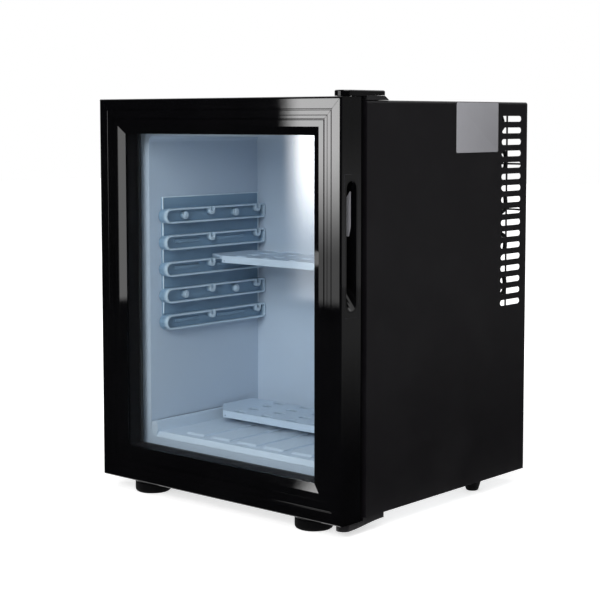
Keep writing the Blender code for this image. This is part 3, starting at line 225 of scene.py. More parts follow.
def satin_paint():
    """Powder-coated sheet: near black, with fine orange peel and a slight film of dust."""
    s = Shader("satin_paint")
    base = s.blend(s.noise(3.0, 3.0), (0.0054, 0.0048, 0.0060), (0.0070, 0.0062, 0.0078))
    s.colour(dust(s, base, 0.010))
    s.rough(s.spread(s.noise(22.0, 5.0), 0.3, 0.7, 0.36, 0.46))
    coarse = s.math("MULTIPLY", s.noise(260.0, 2.0), 0.8)
    s.relief(s.math("ADD", s.noise(900.0, 2.0), coarse), 0.00006, 0.5)
    return s.set(Specular_IOR_Level=0.30).material


def gloss_plastic():
    """Gloss black extrusion with faint wipe marks along its length."""
    s = Shader("gloss_black")
    base = s.blend(s.noise(5.0, 3.0), (0.0010, 0.0010, 0.0013), (0.0017, 0.0017, 0.0021))
    s.colour(dust(s, base, 0.003))
    wipes = s.math("ADD", s.noise(60.0, 6.0), s.noise(14.0, 6.0, 0.6, (1.0, 1.0, 0.25)))
    s.rough(s.spread(wipes, 0.7, 1.3, 0.015, 0.05))
    s.relief(s.noise(45.0, 2.0), 0.00008, 0.2)
    return s.set(Specular_IOR_Level=0.5).material


def moulded(name, dark, light, rough=(0.42, 0.55), grain=1500.0):
    """Moulded plastic with a spark-eroded grain and soft variation of tone."""
    s = Shader(name)
    s.colour(s.blend(s.spread(s.noise(7.0, 4.0), 0.3, 0.7), dark, light))
    s.rough(s.spread(s.noise(30.0, 5.0), 0.3, 0.7, *rough))
    s.relief(s.noise(grain, 2.0), 0.00005, 0.6)
    return s.material


def liner(name, colour):
    """Vacuum-formed sheet: satin, a little uneven in tone, with a fine pebble grain."""
    s = Shader(name)
    tone = s.spread(s.noise(5.0, 4.0), 0.3, 0.7)
    mottle = s.blend(tone, shade(colour, 0.95), shade(colour, 1.04))
    scuff = s.spread(s.noise(34.0, 8.0, 0.7), 0.6, 0.85, 0.0, 0.35)
    s.colour(s.blend(scuff, mottle, shade(colour, 1.12)))
    s.rough(s.spread(s.noise(18.0, 6.0), 0.3, 0.7, 0.30, 0.44))
    s.relief(s.noise(700.0, 3.0), 0.00005, 0.5)
    return s.material


def rail():
    """The shelf rails, with painted shade: lighter on rims and edges than in the hollows of the
    ribs.
    """
    s = Shader("rail")
    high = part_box("rail_left")[1]
    rim_x = abs(high[0])
    # Painted shade: the hollows of the ribs darker than the rims.
    hollow = s.spread(s.off_middle(), rim_x + 0.0004, rim_x + 0.0075, smooth=True)
    # The top and back lines keep the lighter rim colour, a painted highlight.
    top = s.spread(s.axis("Z"), high[2] - RAIL_HIGHLIGHT_LINE, high[2] - 1.5 * RAIL_HIGHLIGHT_LINE)
    back = s.spread(s.axis("Y"), high[1] - RAIL_HIGHLIGHT_LINE, high[1] - 1.5 * RAIL_HIGHLIGHT_LINE)
    hollow = s.math("MULTIPLY", hollow, s.math("MULTIPLY", top, back))
    tone = s.spread(s.noise(5.0, 4.0), 0.3, 0.7)
    shaded_hollow_colour = s.blend(tone, (0.200, 0.310, 0.430), (0.235, 0.350, 0.470))
    rim = s.blend(tone, (0.56, 0.67, 0.77), (0.61, 0.72, 0.82))
    s.colour(s.blend(hollow, rim, shaded_hollow_colour))
    s.rough(s.spread(s.noise(18.0, 6.0), 0.3, 0.7, 0.34, 0.48))
    s.relief(s.noise(900.0, 3.0), 0.00005, 0.5)
    return s.material


def shelf(name):
    """A moulded shelf with painted shade: darker in its slots and underneath than on its rim and
    its top.
    """
    s = Shader(name)
    low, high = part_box(name)
    tone = s.spread(s.noise(5.0, 4.0), 0.3, 0.7)
    pale = s.blend(tone, (0.545, 0.640, 0.755), (0.595, 0.697, 0.820))
    shade_under_top = s.spread(s.axis("Z"), high[2] - 0.0008, high[2] - 0.0022)
    inside = s.spread(s.axis("Y"), low[1] + 0.0022, low[1] + 0.0034)
    # Painted shade on the slot walls and the underside; the top and the front rim stay pale.
    s.colour(s.blend(s.math("MULTIPLY", shade_under_top, inside), pale, (0.300, 0.390, 0.490)))
    s.rough(s.spread(s.noise(18.0, 6.0), 0.3, 0.7, 0.30, 0.44))
    s.relief(s.noise(900.0, 3.0), 0.00005, 0.5)
    return s.material


def galvanised():
    """Zinc-coated sheet with its spangle, each crystal a little lighter or darker."""
    s = Shader("galvanised")
    tone = s.add("ShaderNodeSeparateColor")
    s.join(s.cells(85.0, "Color"), tone.inputs[0])
    base = s.blend(tone.outputs[0], (0.36, 0.37, 0.38), (0.52, 0.53, 0.54))
    stain = s.spread(s.noise(12.0, 8.0), 0.5, 0.75, 0.0, 0.5)
    s.colour(s.blend(stain, base, (0.30, 0.30, 0.30)))
    s.rough(s.spread(tone.outputs[1], 0.0, 1.0, 0.32, 0.52))
    s.relief(s.noise(300.0, 4.0), 0.00005, 0.35)
    return s.set(Metallic=1.0).material


def pipe_paint():
    """Black-painted steel tube with drips, heat-dulled patches and worn spots."""
    s = Shader("pipe_paint")
    worn = s.spread(s.noise(70.0, 9.0, 0.7), 0.66, 0.74)
    base = s.blend(s.noise(16.0, 5.0), (0.010, 0.010, 0.011), (0.024, 0.023, 0.022))
    s.colour(s.blend(worn, base, (0.10, 0.085, 0.075)))
    s.rough(s.spread(s.noise(25.0, 6.0), 0.3, 0.7, 0.38, 0.66))
    drips = s.math("MULTIPLY", s.noise(40.0, 3.0), 0.9)
    s.relief(s.math("ADD", s.noise(420.0, 3.0), drips), 0.00012, 0.5)
    return s.material


def aluminium(name, brush):
    """Mill aluminium, drawn one way, with a dull oxide bloom."""
    s = Shader(name)
    lines = s.noise(30.0, 6.0, 0.7, brush)
    s.colour(s.blend(lines, (0.60, 0.61, 0.62), (0.76, 0.77, 0.78)))
    s.rough(s.spread(s.math("ADD", lines, s.noise(25.0)), 0.6, 1.4, 0.24, 0.46))
    s.relief(lines, 0.00004, 0.4)
    return s.set(Metallic=1.0).material


def turned_steel():
    """Bright steel with fine turning marks."""
    s = Shader("turned_steel")
    lines = s.noise(60.0, 4.0, 0.7, (1.0, 1.0, 60.0))
    s.colour(s.blend(lines, (0.44, 0.44, 0.45), (0.64, 0.64, 0.65)))
    s.rough(s.spread(lines, 0.3, 0.7, 0.20, 0.36))
    s.relief(lines, 0.00003, 0.4)
    return s.set(Metallic=1.0).material


def foam():
    """Rigid foam: closed cells, honey coloured, paler where it has aged."""
    s = Shader("rigid_foam")
    aged = s.spread(s.noise(14.0, 6.0), 0.35, 0.7)
    s.colour(s.blend(aged, (0.66, 0.55, 0.30), (0.78, 0.70, 0.46)))
    s.relief(s.cells(650.0), 0.0005, 0.8)
    return s.set(Roughness=0.92).material


def rubber(name, colour, rough=(0.62, 0.8), specular=0.15):
    """Dull black rubber with greyer rubbed patches."""
    s = Shader(name)
    rubbed = s.spread(s.noise(40.0, 8.0, 0.7), 0.5, 0.8, 0.0, 0.35)
    s.colour(s.blend(rubbed, colour, shade(colour, 3.2)))
    s.rough(s.spread(s.noise(30.0, 5.0), 0.3, 0.7, *rough))
    s.relief(s.noise(1100.0, 3.0), 0.00008, 0.6)
    return s.set(Specular_IOR_Level=specular).material


def gasket():
    """The door seal: black outside, grey towards the compartment and palest along its foot."""
    s = Shader("gasket")
    low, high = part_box("door_gasket")
    across = s.spread(s.off_middle(), high[0] - 0.0075, high[0] - 0.0085)
    above = s.spread(s.axis("Z"), low[2] + 0.0075, low[2] + 0.0085)
    below = s.spread(s.axis("Z"), high[2] - 0.0075, high[2] - 0.0085)
    inner = s.math("MULTIPLY", across, s.math("MULTIPLY", above, below))
    pale = s.blend(s.noise(12.0, 5.0), (0.27, 0.34, 0.41), (0.31, 0.38, 0.45))
    foot = s.spread(s.axis("Z"), low[2] + 0.026, low[2] + 0.014)
    pale = s.blend(foot, pale, (0.47, 0.55, 0.63))
    s.colour(s.blend(inner, (0.020, 0.020, 0.021), pale))
    s.rough(s.spread(s.noise(30.0, 5.0), 0.3, 0.7, 0.5, 0.66))
    s.relief(s.noise(1100.0, 3.0), 0.00006, 0.5)
    return s.material


def clear_glass():
    """Float glass. Shadow and diffuse rays go straight through, so the room lights the inside."""
    s = Shader("door_glass")
    tint = (0.97, 0.985, 0.99, 1)
    s.set(Base_Color=tint, IOR=1.5, Transmission_Weight=1.0)
    s.rough(s.spread(s.noise(4.0, 5.0), 0.3, 0.8, 0.0, 0.008))
    through = s.add("ShaderNodeBsdfTransparent")
    through.inputs["Color"].default_value = tint
    path = s.add("ShaderNodeLightPath")
    passes = s.math("MAXIMUM", path.outputs["Is Shadow Ray"], path.outputs["Is Diffuse Ray"])
    mix = s.add("ShaderNodeMixShader")
    s.join(passes, mix.inputs[0])
    s.join(s.surface.outputs[0], mix.inputs[1])
    s.join(through.outputs[0], mix.inputs[2])
    s.join(mix.outputs[0], s.output.inputs["Surface"])
    return s.material


def bare_label():
    """Satin silver film with a faint brushed grain and nothing printed on it."""
    s = Shader("bare_label")
    grain = s.noise(40.0, 6.0, 0.7, (1.0, 40.0, 1.0))
    s.colour(s.blend(grain, (0.285, 0.285, 0.305), (0.335, 0.335, 0.362)))
    s.rough(s.spread(s.noise(20.0, 5.0), 0.3, 0.7, 0.5, 0.62))
    s.relief(grain, 0.00002, 0.3)
    return s.material


PAINT = satin_paint()
GLOSS = gloss_plastic()
BLACK = moulded("black_moulding", (0.010, 0.010, 0.011), (0.016, 0.016, 0.017))
LINER = liner("liner", (0.53, 0.61, 0.72))
RAIL = rail()
TRAY = liner("tray", (0.60, 0.69, 0.80))
UPPER_SHELF = shelf("upper_shelf")
LOWER_SHELF = shelf("lower_shelf")
ZINC = galvanised()
PIPE = pipe_paint()
FINS = aluminium("fin_aluminium", (1.0, 1.0, 90.0))
KEYS = aluminium("key_aluminium", (1.0, 60.0, 1.0))
STEEL = turned_steel()
FOAM = foam()
FOOT = rubber("foot_rubber", (0.0016, 0.0016, 0.0019), (0.62, 0.8), 0.08)
SEALANT = rubber("spacer_seal", (0.0016, 0.0016, 0.0022), (0.5, 0.7), 0.1)
GASKET = gasket()
GLASS = clear_glass()
LABEL = bare_label()
RIM = moulded("recess_rim", (0.018, 0.018, 0.021), (0.024, 0.024, 0.027), (0.18, 0.28))
# The rails' raised edges, much paler than the rail: a painted highlight.
EDGE_HIGHLIGHT = moulded("rail_edge_highlight", (0.74, 0.84, 0.92), (0.80, 0.89, 0.96), (0.36, 0.5), 900.0)
# A dark strip that stands for the shadow in the gap at the tray's ledges.
GAP_SHADOW = moulded("seam_shadow", (0.030, 0.045, 0.060), (0.045, 0.062, 0.080), (0.6, 0.8))
SLEEVE = rubber("capillary_sleeve", (0.006, 0.006, 0.0065), (0.4, 0.6), 0.3)
# Light grey inside the black finger recesses: a painted reflection of the strip light.
GRIP_REFLECTION = moulded("grip_reflection", (0.34, 0.34, 0.37), (0.40, 0.40, 0.43), (0.3, 0.42))

FINISHES = (
    (PAINT, ("outer_shell", "bottom_hinge_bracket")),
    (GLOSS, ("top_hinge_cover", "door_frame_top", "door_frame_bottom", "door_frame_left",
             "door_frame_right", "finger_recess_left", "finger_recess_right")),
    (BLACK, ("top_hinge_pad", "foot_bracket_left", "foot_bracket_right", "control_box",
             "mains_inlet", "hinge_bush_top", "hinge_bush_bottom", "inner_door_frame")),
    (LINER, ("inner_liner",)),
    (TRAY, ("floor_tray",)),
    (RAIL, ("rail_left", "rail_right")),
    (UPPER_SHELF, ("upper_shelf",)),
    (LOWER_SHELF, ("lower_shelf",)),
    (ZINC, ("base_plate", "rear_panel", "boiler_jacket", "pipe_bracket_left",
            "pipe_bracket_right")),
    (PIPE, ("boiler_tube", "rectifier_pipe", "condensate_pipe", "evaporator_coil", "gas_pipe",
            "liquid_pipe", "return_pipe", "absorber_coil", "absorber_vessel")),
    (FINS, ("condenser", "evaporator_plate")),
    (KEYS, ("corner_key_left_top", "corner_key_left_bottom", "corner_key_right_top",
            "corner_key_right_bottom")),
    (STEEL, ("top_hinge_plate", "top_hinge_pin", "bottom_hinge_pin", "heater_cartridge")),
    (FOAM, ("foam_insulation",)),
    (FOOT, ("rear_foot_left", "rear_foot_right", "front_foot_left", "front_foot_right")),
    (SEALANT, ("glass_spacer",)),
    (GASKET, ("door_gasket",)),
    (GLASS, ("outer_glass", "inner_glass")),
)
finish_of = {name: material for material, names in FINISHES for name in names}

for name, node in nodes.items():
    if not node.material_slots:
        node.data.materials.append(None)
    for slot in node.material_slots:
        slot.material = finish_of[name]


# Mesh helpers


def piece(name, bm, body, material, smooth=True):
    """Turns the mesh into an object that rides on the body and carries the given material."""
    bmesh.ops.recalc_face_normals(bm, faces=bm.faces)
    mesh = bpy.data.meshes.new(name)
    bm.to_mesh(mesh)
    bm.free()
    if smooth:
        mesh.shade_smooth()
        mesh.set_sharp_from_angle(angle=math.radians(35))
    obj = bpy.data.objects.new(name, mesh)
    scene.collection.objects.link(obj)
    obj.data.materials.append(material)
    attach(obj, body)


def skin(bm, rows):
    """Joins rows of vertices that each go once round, and closes both ends."""
    for first, second in zip(rows, rows[1:]):
        for k in range(len(first)):
            bm.faces.new((first[k - 1], first[k], second[k], second[k - 1]))
    bm.faces.new(rows[0])
    bm.faces.new(rows[-1])


def turned(bm, place, out, profile, sides):
    """A turned form that stands on place and points out, with six lobes where they have depth.

    profile holds (radius, height, depth of the lobes as a share of the radius).
    """
    stand = Matrix.Translation(place) @ Vector(out).to_track_quat("Z", "Y").to_matrix().to_4x4()
    rows = []
    for radius, height, lobes in profile:
        row = []
        for k in range(sides):
            turn = 2 * math.pi * k / sides
            reach = radius * (1 + lobes * math.cos(6 * turn))
            point = Vector((reach * math.cos(turn), reach * math.sin(turn), height))
            row.append(bm.verts.new(stand @ point))
        rows.append(row)
    skin(bm, rows)


def screw(bm, place, out, radius, height):
    """A domed screw head with a six-lobed recess."""
    dome = ((1.0, 0.0), (1.0, 0.25), (0.93, 0.6), (0.78, 0.85), (0.55, 1.0))
    socket = ((0.42, 1.0), (0.42, 0.35))
    profile = [(share * radius, level * height, 0.0) for share, level in dome]
    profile += [(share * radius, level * height, 0.16) for share, level in socket]
    turned(bm, place, out, profile, 36)


def tube(bm, points, radius, sides=12):
    """A round tube through the points, closed at both ends."""
    points = [Vector(point) for point in points]
    rows = []
    across = None
    for i, point in enumerate(points):
        ahead = (points[min(i + 1, len(points) - 1)] - points[max(i - 1, 0)]).normalized()
        if across is None:
            across = ahead.orthogonal().normalized()
        across = (across - ahead * across.dot(ahead)).normalized()
        other = ahead.cross(across)
        row = []
        for k in range(sides):
            turn = 2 * math.pi * k / sides
            spoke = math.cos(turn) * across + math.sin(turn) * other
            row.append(bm.verts.new(point + radius * spoke))
        rows.append(row)
    skin(bm, rows)


def smooth_path(points, steps=8):
    """A Catmull-Rom curve through the points."""
    points = [Vector(point) for point in points]
    ends = [2 * points[0] - points[1]] + points + [2 * points[-1] - points[-2]]
    path = []
    for a, b, c, d in zip(ends, ends[1:], ends[2:], ends[3:]):
        bend = 2 * a - 5 * b + 4 * c - d
        twist = 3 * b - a - 3 * c + d
        for k in range(steps):
            t = k / steps
            path.append(0.5 * (2 * b + (c - a) * t + bend * t ** 2 + twist * t ** 3))
    return path + [points[-1]]


def slab(bm, low, high, soft):
    """A small block with softened edges."""
    middle = (Vector(low) + Vector(high)) / 2
    size = Vector(high) - Vector(low)
    matrix = Matrix.Translation(middle) @ Matrix.Diagonal((*size, 1))
    made = bmesh.ops.create_cube(bm, size=1.0, matrix=matrix)
    edges = {edge for vert in made["verts"] for edge in vert.link_edges}
    bmesh.ops.bevel(bm, geom=list(edges), offset=soft, segments=2, affect="EDGES", profile=0.5)


def slabs_on_side(bm, start, end, spans, soft):
    """Blocks between the planes x = start and x = end. spans are (y, y, z, z)."""
    x0, x1 = sorted((start, end))
    for y0, y1, z0, z1 in spans:
        slab(bm, (x0, y0, z0), (x1, y1, z1), soft)


# Small fittings


def label():
    """The bare film on the cabinet's right side, with round corners and a softened rim."""
    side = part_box("outer_shell")[1][0]
    y0, y1, z0, z1 = 0.031, 0.121, 0.4342, 0.4955
    back, front = side + 0.00002, side + 0.00022
    round_ = 0.002
    steps = 4
    bm = bmesh.new()
    rows = []
    for x, inset in ((back, 0.0), (front - 0.00008, 0.0), (front, 0.0002)):
        row = []
        for y, z, start in ((y1 - round_, z1 - round_, 0), (y0 + round_, z1 - round_, 90),
                            (y0 + round_, z0 + round_, 180), (y1 - round_, z0 + round_, 270)):
            for k in range(steps + 1):
                turn = math.radians(start + 90 * k / steps)
                reach = round_ - inset
                across, up = reach * math.cos(turn), reach * math.sin(turn)
                row.append(bm.verts.new((x, y + across, z + up)))
        rows.append(row)
    skin(bm, rows)
    piece("bare_label", bm, "cabinet", LABEL)


def window_line():
    """The flat line of the frame next to the window's bevel, mitred at the corners."""
    section = (  # inset from the door's edge, depth behind its front
        (0.0263, 0.00078), (0.0265, 0.00070), (0.0333, 0.00070),
        (0.0335, 0.00078), (0.0335, 0.00118), (0.0263, 0.00081))
    low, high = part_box("door_frame_left")
    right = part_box("door_frame_right")[1][0]
    bm = bmesh.new()
    corners = []
    for x, z, dx, dz in ((low[0], low[2], 1, 1), (right, low[2], -1, 1),
                         (right, high[2], -1, -1), (low[0], high[2], 1, -1)):
        corners.append([bm.verts.new((x + dx * inset, low[1] + depth, z + dz * inset))
                        for inset, depth in section])
    for k in range(4):
        first, second = corners[k - 1], corners[k]
        for i in range(len(section)):
            bm.faces.new((first[i - 1], first[i], second[i], second[i - 1]))
    piece("window_line", bm, "door", GLOSS, False)


def rail_faces(name, side):
    """The rail's box, and the x of its back on the wall and of its front."""
    low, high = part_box(name)
    return (low, high, low[0], high[0]) if side > 0 else (low, high, high[0], low[0])


def rail_fittings():
    """A screw head in each boss of the shelf rails."""
    for name, side in RAIL_SIDES:
        face = rail_faces(name, side)[3]
        bm = bmesh.new()
        for y in RAIL_BOSSES_Y:
            for z in RAIL_BOSSES_Z:
                screw(bm, (face - side * 0.0020, y, z), (side, 0, 0), 0.0034, 0.0010)
        piece(name + "_screws", bm, "cabinet", RAIL)


def rail_trim():
    """The raised edge of each rail's plate, pale as a painted highlight, and the long pads in the
    hollows of three ribs.
    """
    for name, side in RAIL_SIDES:
        low, high, wall, face = rail_faces(name, side)
        front, back, top = low[1] + 0.0060, high[1], high[2]
        foot, head = low[2] + 0.021, top - 0.0012
        spans = ((front, back, top - RAIL_EDGE_WIDTH, top),
                 (front, front + RAIL_EDGE_WIDTH, foot, head),
                 (back - RAIL_EDGE_WIDTH, back, foot, head))
        plate = wall + side * RAIL_PLATE
        bm = bmesh.new()
        slabs_on_side(bm, plate - side * 0.0004, plate + side * 0.0009, spans, 0.0003)
        piece(name + "_edge", bm, "cabinet", EDGE_HIGHLIGHT)
        middles = [low[2] + RIB_MIDDLE + rib * RIB_PITCH for rib in RIBS_WITH_PADS]
        spans = [(y0, y1, z - 0.0024, z + 0.0024) for z in middles for y0, y1 in PAD_SPANS_Y]
        hollow = face - side * RIB_HOLLOW
        bm = bmesh.new()
        slabs_on_side(bm, hollow - side * 0.0004, hollow + side * 0.0016, spans, 0.0005)
        piece(name + "_pads", bm, "cabinet", RAIL)


def tray_gap_shadow():
    """A dark strip of painted shadow in the narrow gap between the tray's ledges and the
    compartment's walls.
    """
    low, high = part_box("floor_tray")
    width, soft = 0.0012, 0.0002
    foot, head = high[2] - 0.0012, high[2] + 0.0003
    bm = bmesh.new()
    for side in (-1, 1):
        edge = side * high[0]
        slabs_on_side(bm, edge, edge - side * width, ((low[1] + 0.012, high[1], foot, head),), soft)
    slab(bm, (low[0], high[1] - width, foot), (high[0], high[1], head), soft)
    piece("tray_gap_shadow", bm, "cabinet", GAP_SHADOW)


def capillary():
    """The thermostat's stiff sleeved capillary: up past the coil's bends, in at the panel."""
    box_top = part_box("control_box")[1][2]
    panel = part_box("rear_panel")[1][1]
    x = CAPILLARY_X
    entry_x, entry_z = CAPILLARY_ENTRY
    points = [(0.186, 0.140, box_top - 0.001), (0.188, 0.139, box_top + 0.012)]
    points += [(x, 0.137, box_top + 0.035), (x, 0.137, 0.180), (x, 0.137, 0.232)]
    for k in range(BENDS_PASSED):
        z = BEND_FIRST_Z + k * BEND_PITCH
        points += [(x, 0.138, z - 0.0165), (x, 0.1505, z - 0.0080)]
        points += [(x, 0.1505, z + 0.0080), (x, 0.138, z + 0.0165)]
    points += [(x, 0.138, 0.4588), (x, 0.1445, 0.4668), (0.191, 0.1400, 0.4790)]
    points += [(0.190, 0.130, entry_z)]
    points += [(entry_x, panel + 0.004, entry_z), (entry_x, panel, entry_z)]
    bm = bmesh.new()
    tube(bm, smooth_path(points), CAPILLARY_RADIUS)
    piece("capillary_sleeve", bm, "cabinet", SLEEVE)
    bm = bmesh.new()
    profile = ((0.0052, 0.0, 0), (0.0052, 0.0008, 0), (0.0042, 0.0018, 0), (0.0030, 0.0022, 0))
    turned(bm, (entry_x, panel, entry_z), (0, 1, 0), profile, 24)
    turned(bm, (0.186, 0.140, box_top), (0, 0, 1), profile, 24)
    piece("capillary_grommets", bm, "cabinet", SLEEVE)


def guard_wires():
    """Two wires across the open back, hooked to the side walls."""
    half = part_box("outer_shell")[1][0] - SHELL_INSIDE
    hook = ((0.0014, 0.1735), (0.0014, 0.1765), (0.0022, 0.1782), (0.0045, 0.1785))
    bm = bmesh.new()
    for z in GUARD_HEIGHTS:
        right = [(half - inset, y, z) for inset, y in hook]
        left = [(-x, y, z) for x, y, z in reversed(right)]
        tube(bm, right + left, GUARD_RADIUS, 8)
    piece("guard_wires", bm, "cabinet", PIPE)


def recess_reflection_ribs():
    """A slanted rib inside each finger recess, light grey as a painted reflection of the strip
    light.
    """
    outline = (  # reach from the recess's bottom, height
        (0.0017, 0.3850), (0.0082, 0.3945), (0.0082, 0.3540), (0.0062, 0.3440), (0.0017, 0.3440))
    layers = ((-0.0002, 0.0), (0.0010, 0.0), (0.0014, 0.0004))  # out from the wall, trim
    for name, side in RECESS_SIDES:
        low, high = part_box(name)
        bottom = low[0] if side > 0 else high[0]
        wall = high[1] - REFLECTION_RIB_BACK
        bm = bmesh.new()
        rows = []
        for out, trim in layers:
            row = []
            for reach, z in outline:
                inner = reach < 0.005
                x = bottom + side * (reach + (trim if inner else -trim))
                y = wall - REFLECTION_RIB_SLANT * (1 - reach / REFLECTION_RIB_REACH) - out
                row.append(bm.verts.new((x, y, z)))
            rows.append(row)
        skin(bm, rows)
        reflection_rib_name = name.replace("finger_recess", "recess_reflection_rib")
        piece(reflection_rib_name, bm, "door", GRIP_REFLECTION, False)


def recess_rims():
    """The fine raised line around each finger recess."""
    for name, side in RECESS_SIDES:
        low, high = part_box(name)
        face = high[0] if side > 0 else low[0]
        y0, y1 = low[1] - 0.0024, high[1] + 0.0020
        z0, z1 = low[2] - 0.0060, high[2] + 0.0060
        ya, yb = y0 + RIM_LINE, y1 - RIM_LINE
        spans = ((y0, ya, z0, z1), (yb, y1, z0, z1),
                 (ya, yb, z0, z0 + RIM_LINE), (ya, yb, z1 - RIM_LINE, z1))
        bm = bmesh.new()
        slabs_on_side(bm, face - side * 0.0001, face + side * 0.0002, spans, 0.00008)
        rim_name = name.replace("finger_recess", "recess_rim")
        piece(rim_name, bm, "door", RIM)


def bracket_fittings():
    """Screws that hold the pipe brackets to the rear panel, and those of the control box."""
    bm = bmesh.new()
    for name in ("pipe_bracket_left", "pipe_bracket_right"):
        low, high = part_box(name)
        middle = (low[0] + high[0]) / 2
        face = low[1] + 0.0012
        for z in (low[2] + 0.012, (low[2] + high[2]) / 2, high[2] - 0.012):
            for x in (middle - 0.014, middle + 0.014):
                screw(bm, (x, face, z), (0, 1, 0), 0.0035, 0.0016)
    piece("bracket_screws", bm, "cabinet", STEEL)
    low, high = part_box("control_box")
    bm = bmesh.new()
    for x in (low[0] + 0.005, high[0] - 0.005):
        for z in (low[2] + 0.005, high[2] - 0.005):
            screw(bm, (x, high[1], z), (0, 1, 0), 0.0026, 0.0013)
    piece("control_box_screws", bm, "cabinet", STEEL)


label()
window_line()
rail_fittings()
rail_trim()
tray_gap_shadow()
capillary()
guard_wires()
recess_reflection_ribs()
recess_rims()
bracket_fittings()


# Light, floor and camera


def lamp(name, place, target, wide, high, power, glints=True):
    """A rectangular lamp aimed at the target. Without glints, gloss doesn't show it."""
    data = bpy.data.lights.new(name, "AREA")
    data.shape = "RECTANGLE"
    data.size = wide
    data.size_y = high
    data.energy = power
    obj = bpy.data.objects.new(name, data)
    obj.location = place
    aim = Vector(target) - Vector(place)
    obj.rotation_euler = aim.to_track_quat("-Z", "Y").to_euler()
    obj.visible_glossy = glints
    scene.collection.objects.link(obj)


def seen(tree):
    """1 for rays that show the background: from the camera, off gloss, and through glass."""
    path = tree.nodes.new("ShaderNodeLightPath")
    first = tree.nodes.new("ShaderNodeMath")
    second = tree.nodes.new("ShaderNodeMath")
    for node in (first, second):
        node.operation = "MAXIMUM"
    tree.links.new(path.outputs["Is Camera Ray"], first.inputs[0])
    tree.links.new(path.outputs["Is Glossy Ray"], first.inputs[1])
    tree.links.new(first.outputs[0], second.inputs[0])
    tree.links.new(path.outputs["Is Transmission Ray"], second.inputs[1])
    return second.outputs[0]


def world():
    """White where the camera, gloss and glass see it, and a plain soft light on everything."""
    back = bpy.data.worlds.new("studio")
    back.use_nodes = True
    tree = back.node_tree
    shine = tree.nodes["Background"]
    strength = tree.nodes.new("ShaderNodeMix")
    strength.data_type = "FLOAT"
    tree.links.new(seen(tree), strength.inputs[0])
    strength.inputs[2].default_value = WORLD_LIGHT
    strength.inputs[3].default_value = WORLD_SEEN
    tree.links.new(strength.outputs[0], shine.inputs["Strength"])
    shine.inputs["Color"].default_value = (1, 1, 1, 1)
    scene.world = back


def sheet(name, corners):
    """One flat face through the corners."""
    bm = bmesh.new()
    bm.faces.new([bm.verts.new(corner) for corner in corners])
    mesh = bpy.data.meshes.new(name)
    bm.to_mesh(mesh)
    bm.free()
    obj = bpy.data.objects.new(name, mesh)
    scene.collection.objects.link(obj)
    return obj


def upright(x0, y0, x1, y1, z0, z1):
    return (x0, y0, z0), (x1, y1, z0), (x1, y1, z1), (x0, y0, z1)


def flat(x0, x1, y0, y1, z):
    return (x0, y0, z), (x1, y0, z), (x1, y1, z), (x0, y1, z)


def floor():
    """Pale floor. Close to the fridge it keeps the shadow, further out it is plain white."""
    half = FLOOR_HALF
    obj = sheet("studio_floor", flat(-half, half, -half, half, 0))
    s = Shader("studio_floor")
    s.set(Base_Color=(0.86, 0.86, 0.86, 1), Specular_IOR_Level=0.1)
    s.rough(s.spread(s.noise(6.0), 0.3, 0.7, 0.86, 0.94))
    reach = s.add("ShaderNodeVectorMath", operation="LENGTH")
    s.join(s.place, reach.inputs[0])
    far = s.spread(reach.outputs["Value"], FLOOR_NEAR, FLOOR_FAR, FLOOR_GLOW, 1.0, smooth=True)
    white = s.add("ShaderNodeEmission")
    s.join(s.math("MULTIPLY", far, seen(s.tree)), white.inputs["Strength"])
    both = s.add("ShaderNodeAddShader")
    s.join(s.surface.outputs[0], both.inputs[0])
    s.join(white.outputs[0], both.inputs[1])
    s.join(both.outputs[0], s.output.inputs["Surface"])
    obj.data.materials.append(s.material)


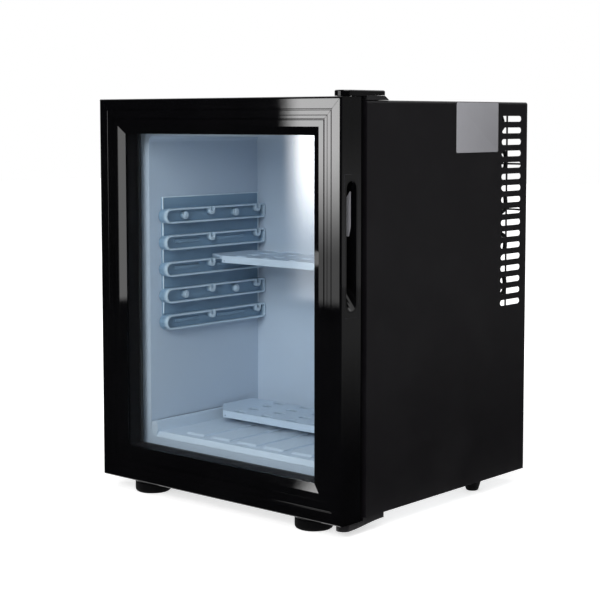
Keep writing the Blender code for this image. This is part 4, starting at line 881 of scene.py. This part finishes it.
def card(name, corners, level, fades=(), glass=True):
    """A studio card that only gloss shows, and glass unless glass is False.

    fades are (axis, from, to, share of the level at from). The full level is at to.
    """
    obj = sheet(name, corners)
    s = Shader(name)
    glow = s.add("ShaderNodeEmission")
    glow.inputs["Strength"].default_value = level
    value = level
    for axis, start, stop, share in fades:
        fade = s.spread(s.axis(axis), start, stop, share, 1.0, smooth=True)
        value = s.math("MULTIPLY", fade, value)
    if fades:
        s.join(value, glow.inputs["Strength"])
    s.join(glow.outputs[0], s.output.inputs["Surface"])
    obj.data.materials.append(s.material)
    obj.visible_camera = False
    obj.visible_diffuse = False
    obj.visible_shadow = False
    obj.visible_transmission = glass


def cards():
    """Two light strips that the door's gloss shows, and dark cards for all else it would."""
    card("strip_card", upright(-1.17, -1.6, -0.96, -1.6, 0.0, 1.1), 9.6,
         (("X", -1.17, -1.09, 0.0), ("Z", 0.030, 0.055, 0.0),
          ("Z", 0.14, 0.42, 0.13), ("Z", 0.80, 0.58, 0.06)))
    card("front_card", upright(-0.40, -1.6, -0.26, -1.6, 0.07, 0.9), 2.7,
         (("Z", 0.070, 0.085, 0.0),))
    card("dark_front", upright(-4.0, -2.3, 2.6, -2.3, 0.0, 3.0), 0.015)
    card("dark_left", upright(-3.5, -2.3, -3.5, 1.0, 0.0, 3.0), 0.015)
    card("dark_above", flat(-3.5, 1.5, -2.3, -0.1, 2.4), 0.05)
    card("dark_front_floor", flat(-3.0, 0.6, -2.3, -0.196, 0.001), 0.015)
    card("dark_side", upright(0.5, 3.2, 3.2, 0.4, 0.0, 1.5), 0.46,
         (("Z", 0.5, 0.1, 0.35), ("Y", 2.25, 1.75, 0.12)), False)
    card("dark_side_floor", flat(0.215, 3.0, -0.2, 2.6, 0.001), 0.26,
         (("X", 0.4, 1.3, 0.05),), False)
    card("dark_right", upright(2.6, -2.3, 3.2, -0.2, 0.0, 3.0), 0.02)
    card("dark_right_floor", flat(0.6, 3.2, -2.3, -0.25, 0.001), 0.02)


def camera():
    data = bpy.data.cameras.new("camera")
    data.lens = CAMERA_LENS
    data.sensor_width = CAMERA_SENSOR
    data.shift_y = CAMERA_SHIFT
    obj = bpy.data.objects.new("camera", data)
    obj.location = CAMERA_PLACE
    obj.rotation_euler = [math.radians(angle) for angle in CAMERA_TURN]
    scene.collection.objects.link(obj)
    scene.camera = obj


world()
floor()
lamp("overhead", (0.3, -0.3, 2.6), (0, 0, 0.2), 2.4, 2.0, 36)
lamp("front_fill", (0.9, -2.2, 1.3), (0, 0, 0.25), 1.6, 1.2, 44, False)
cards()
camera()
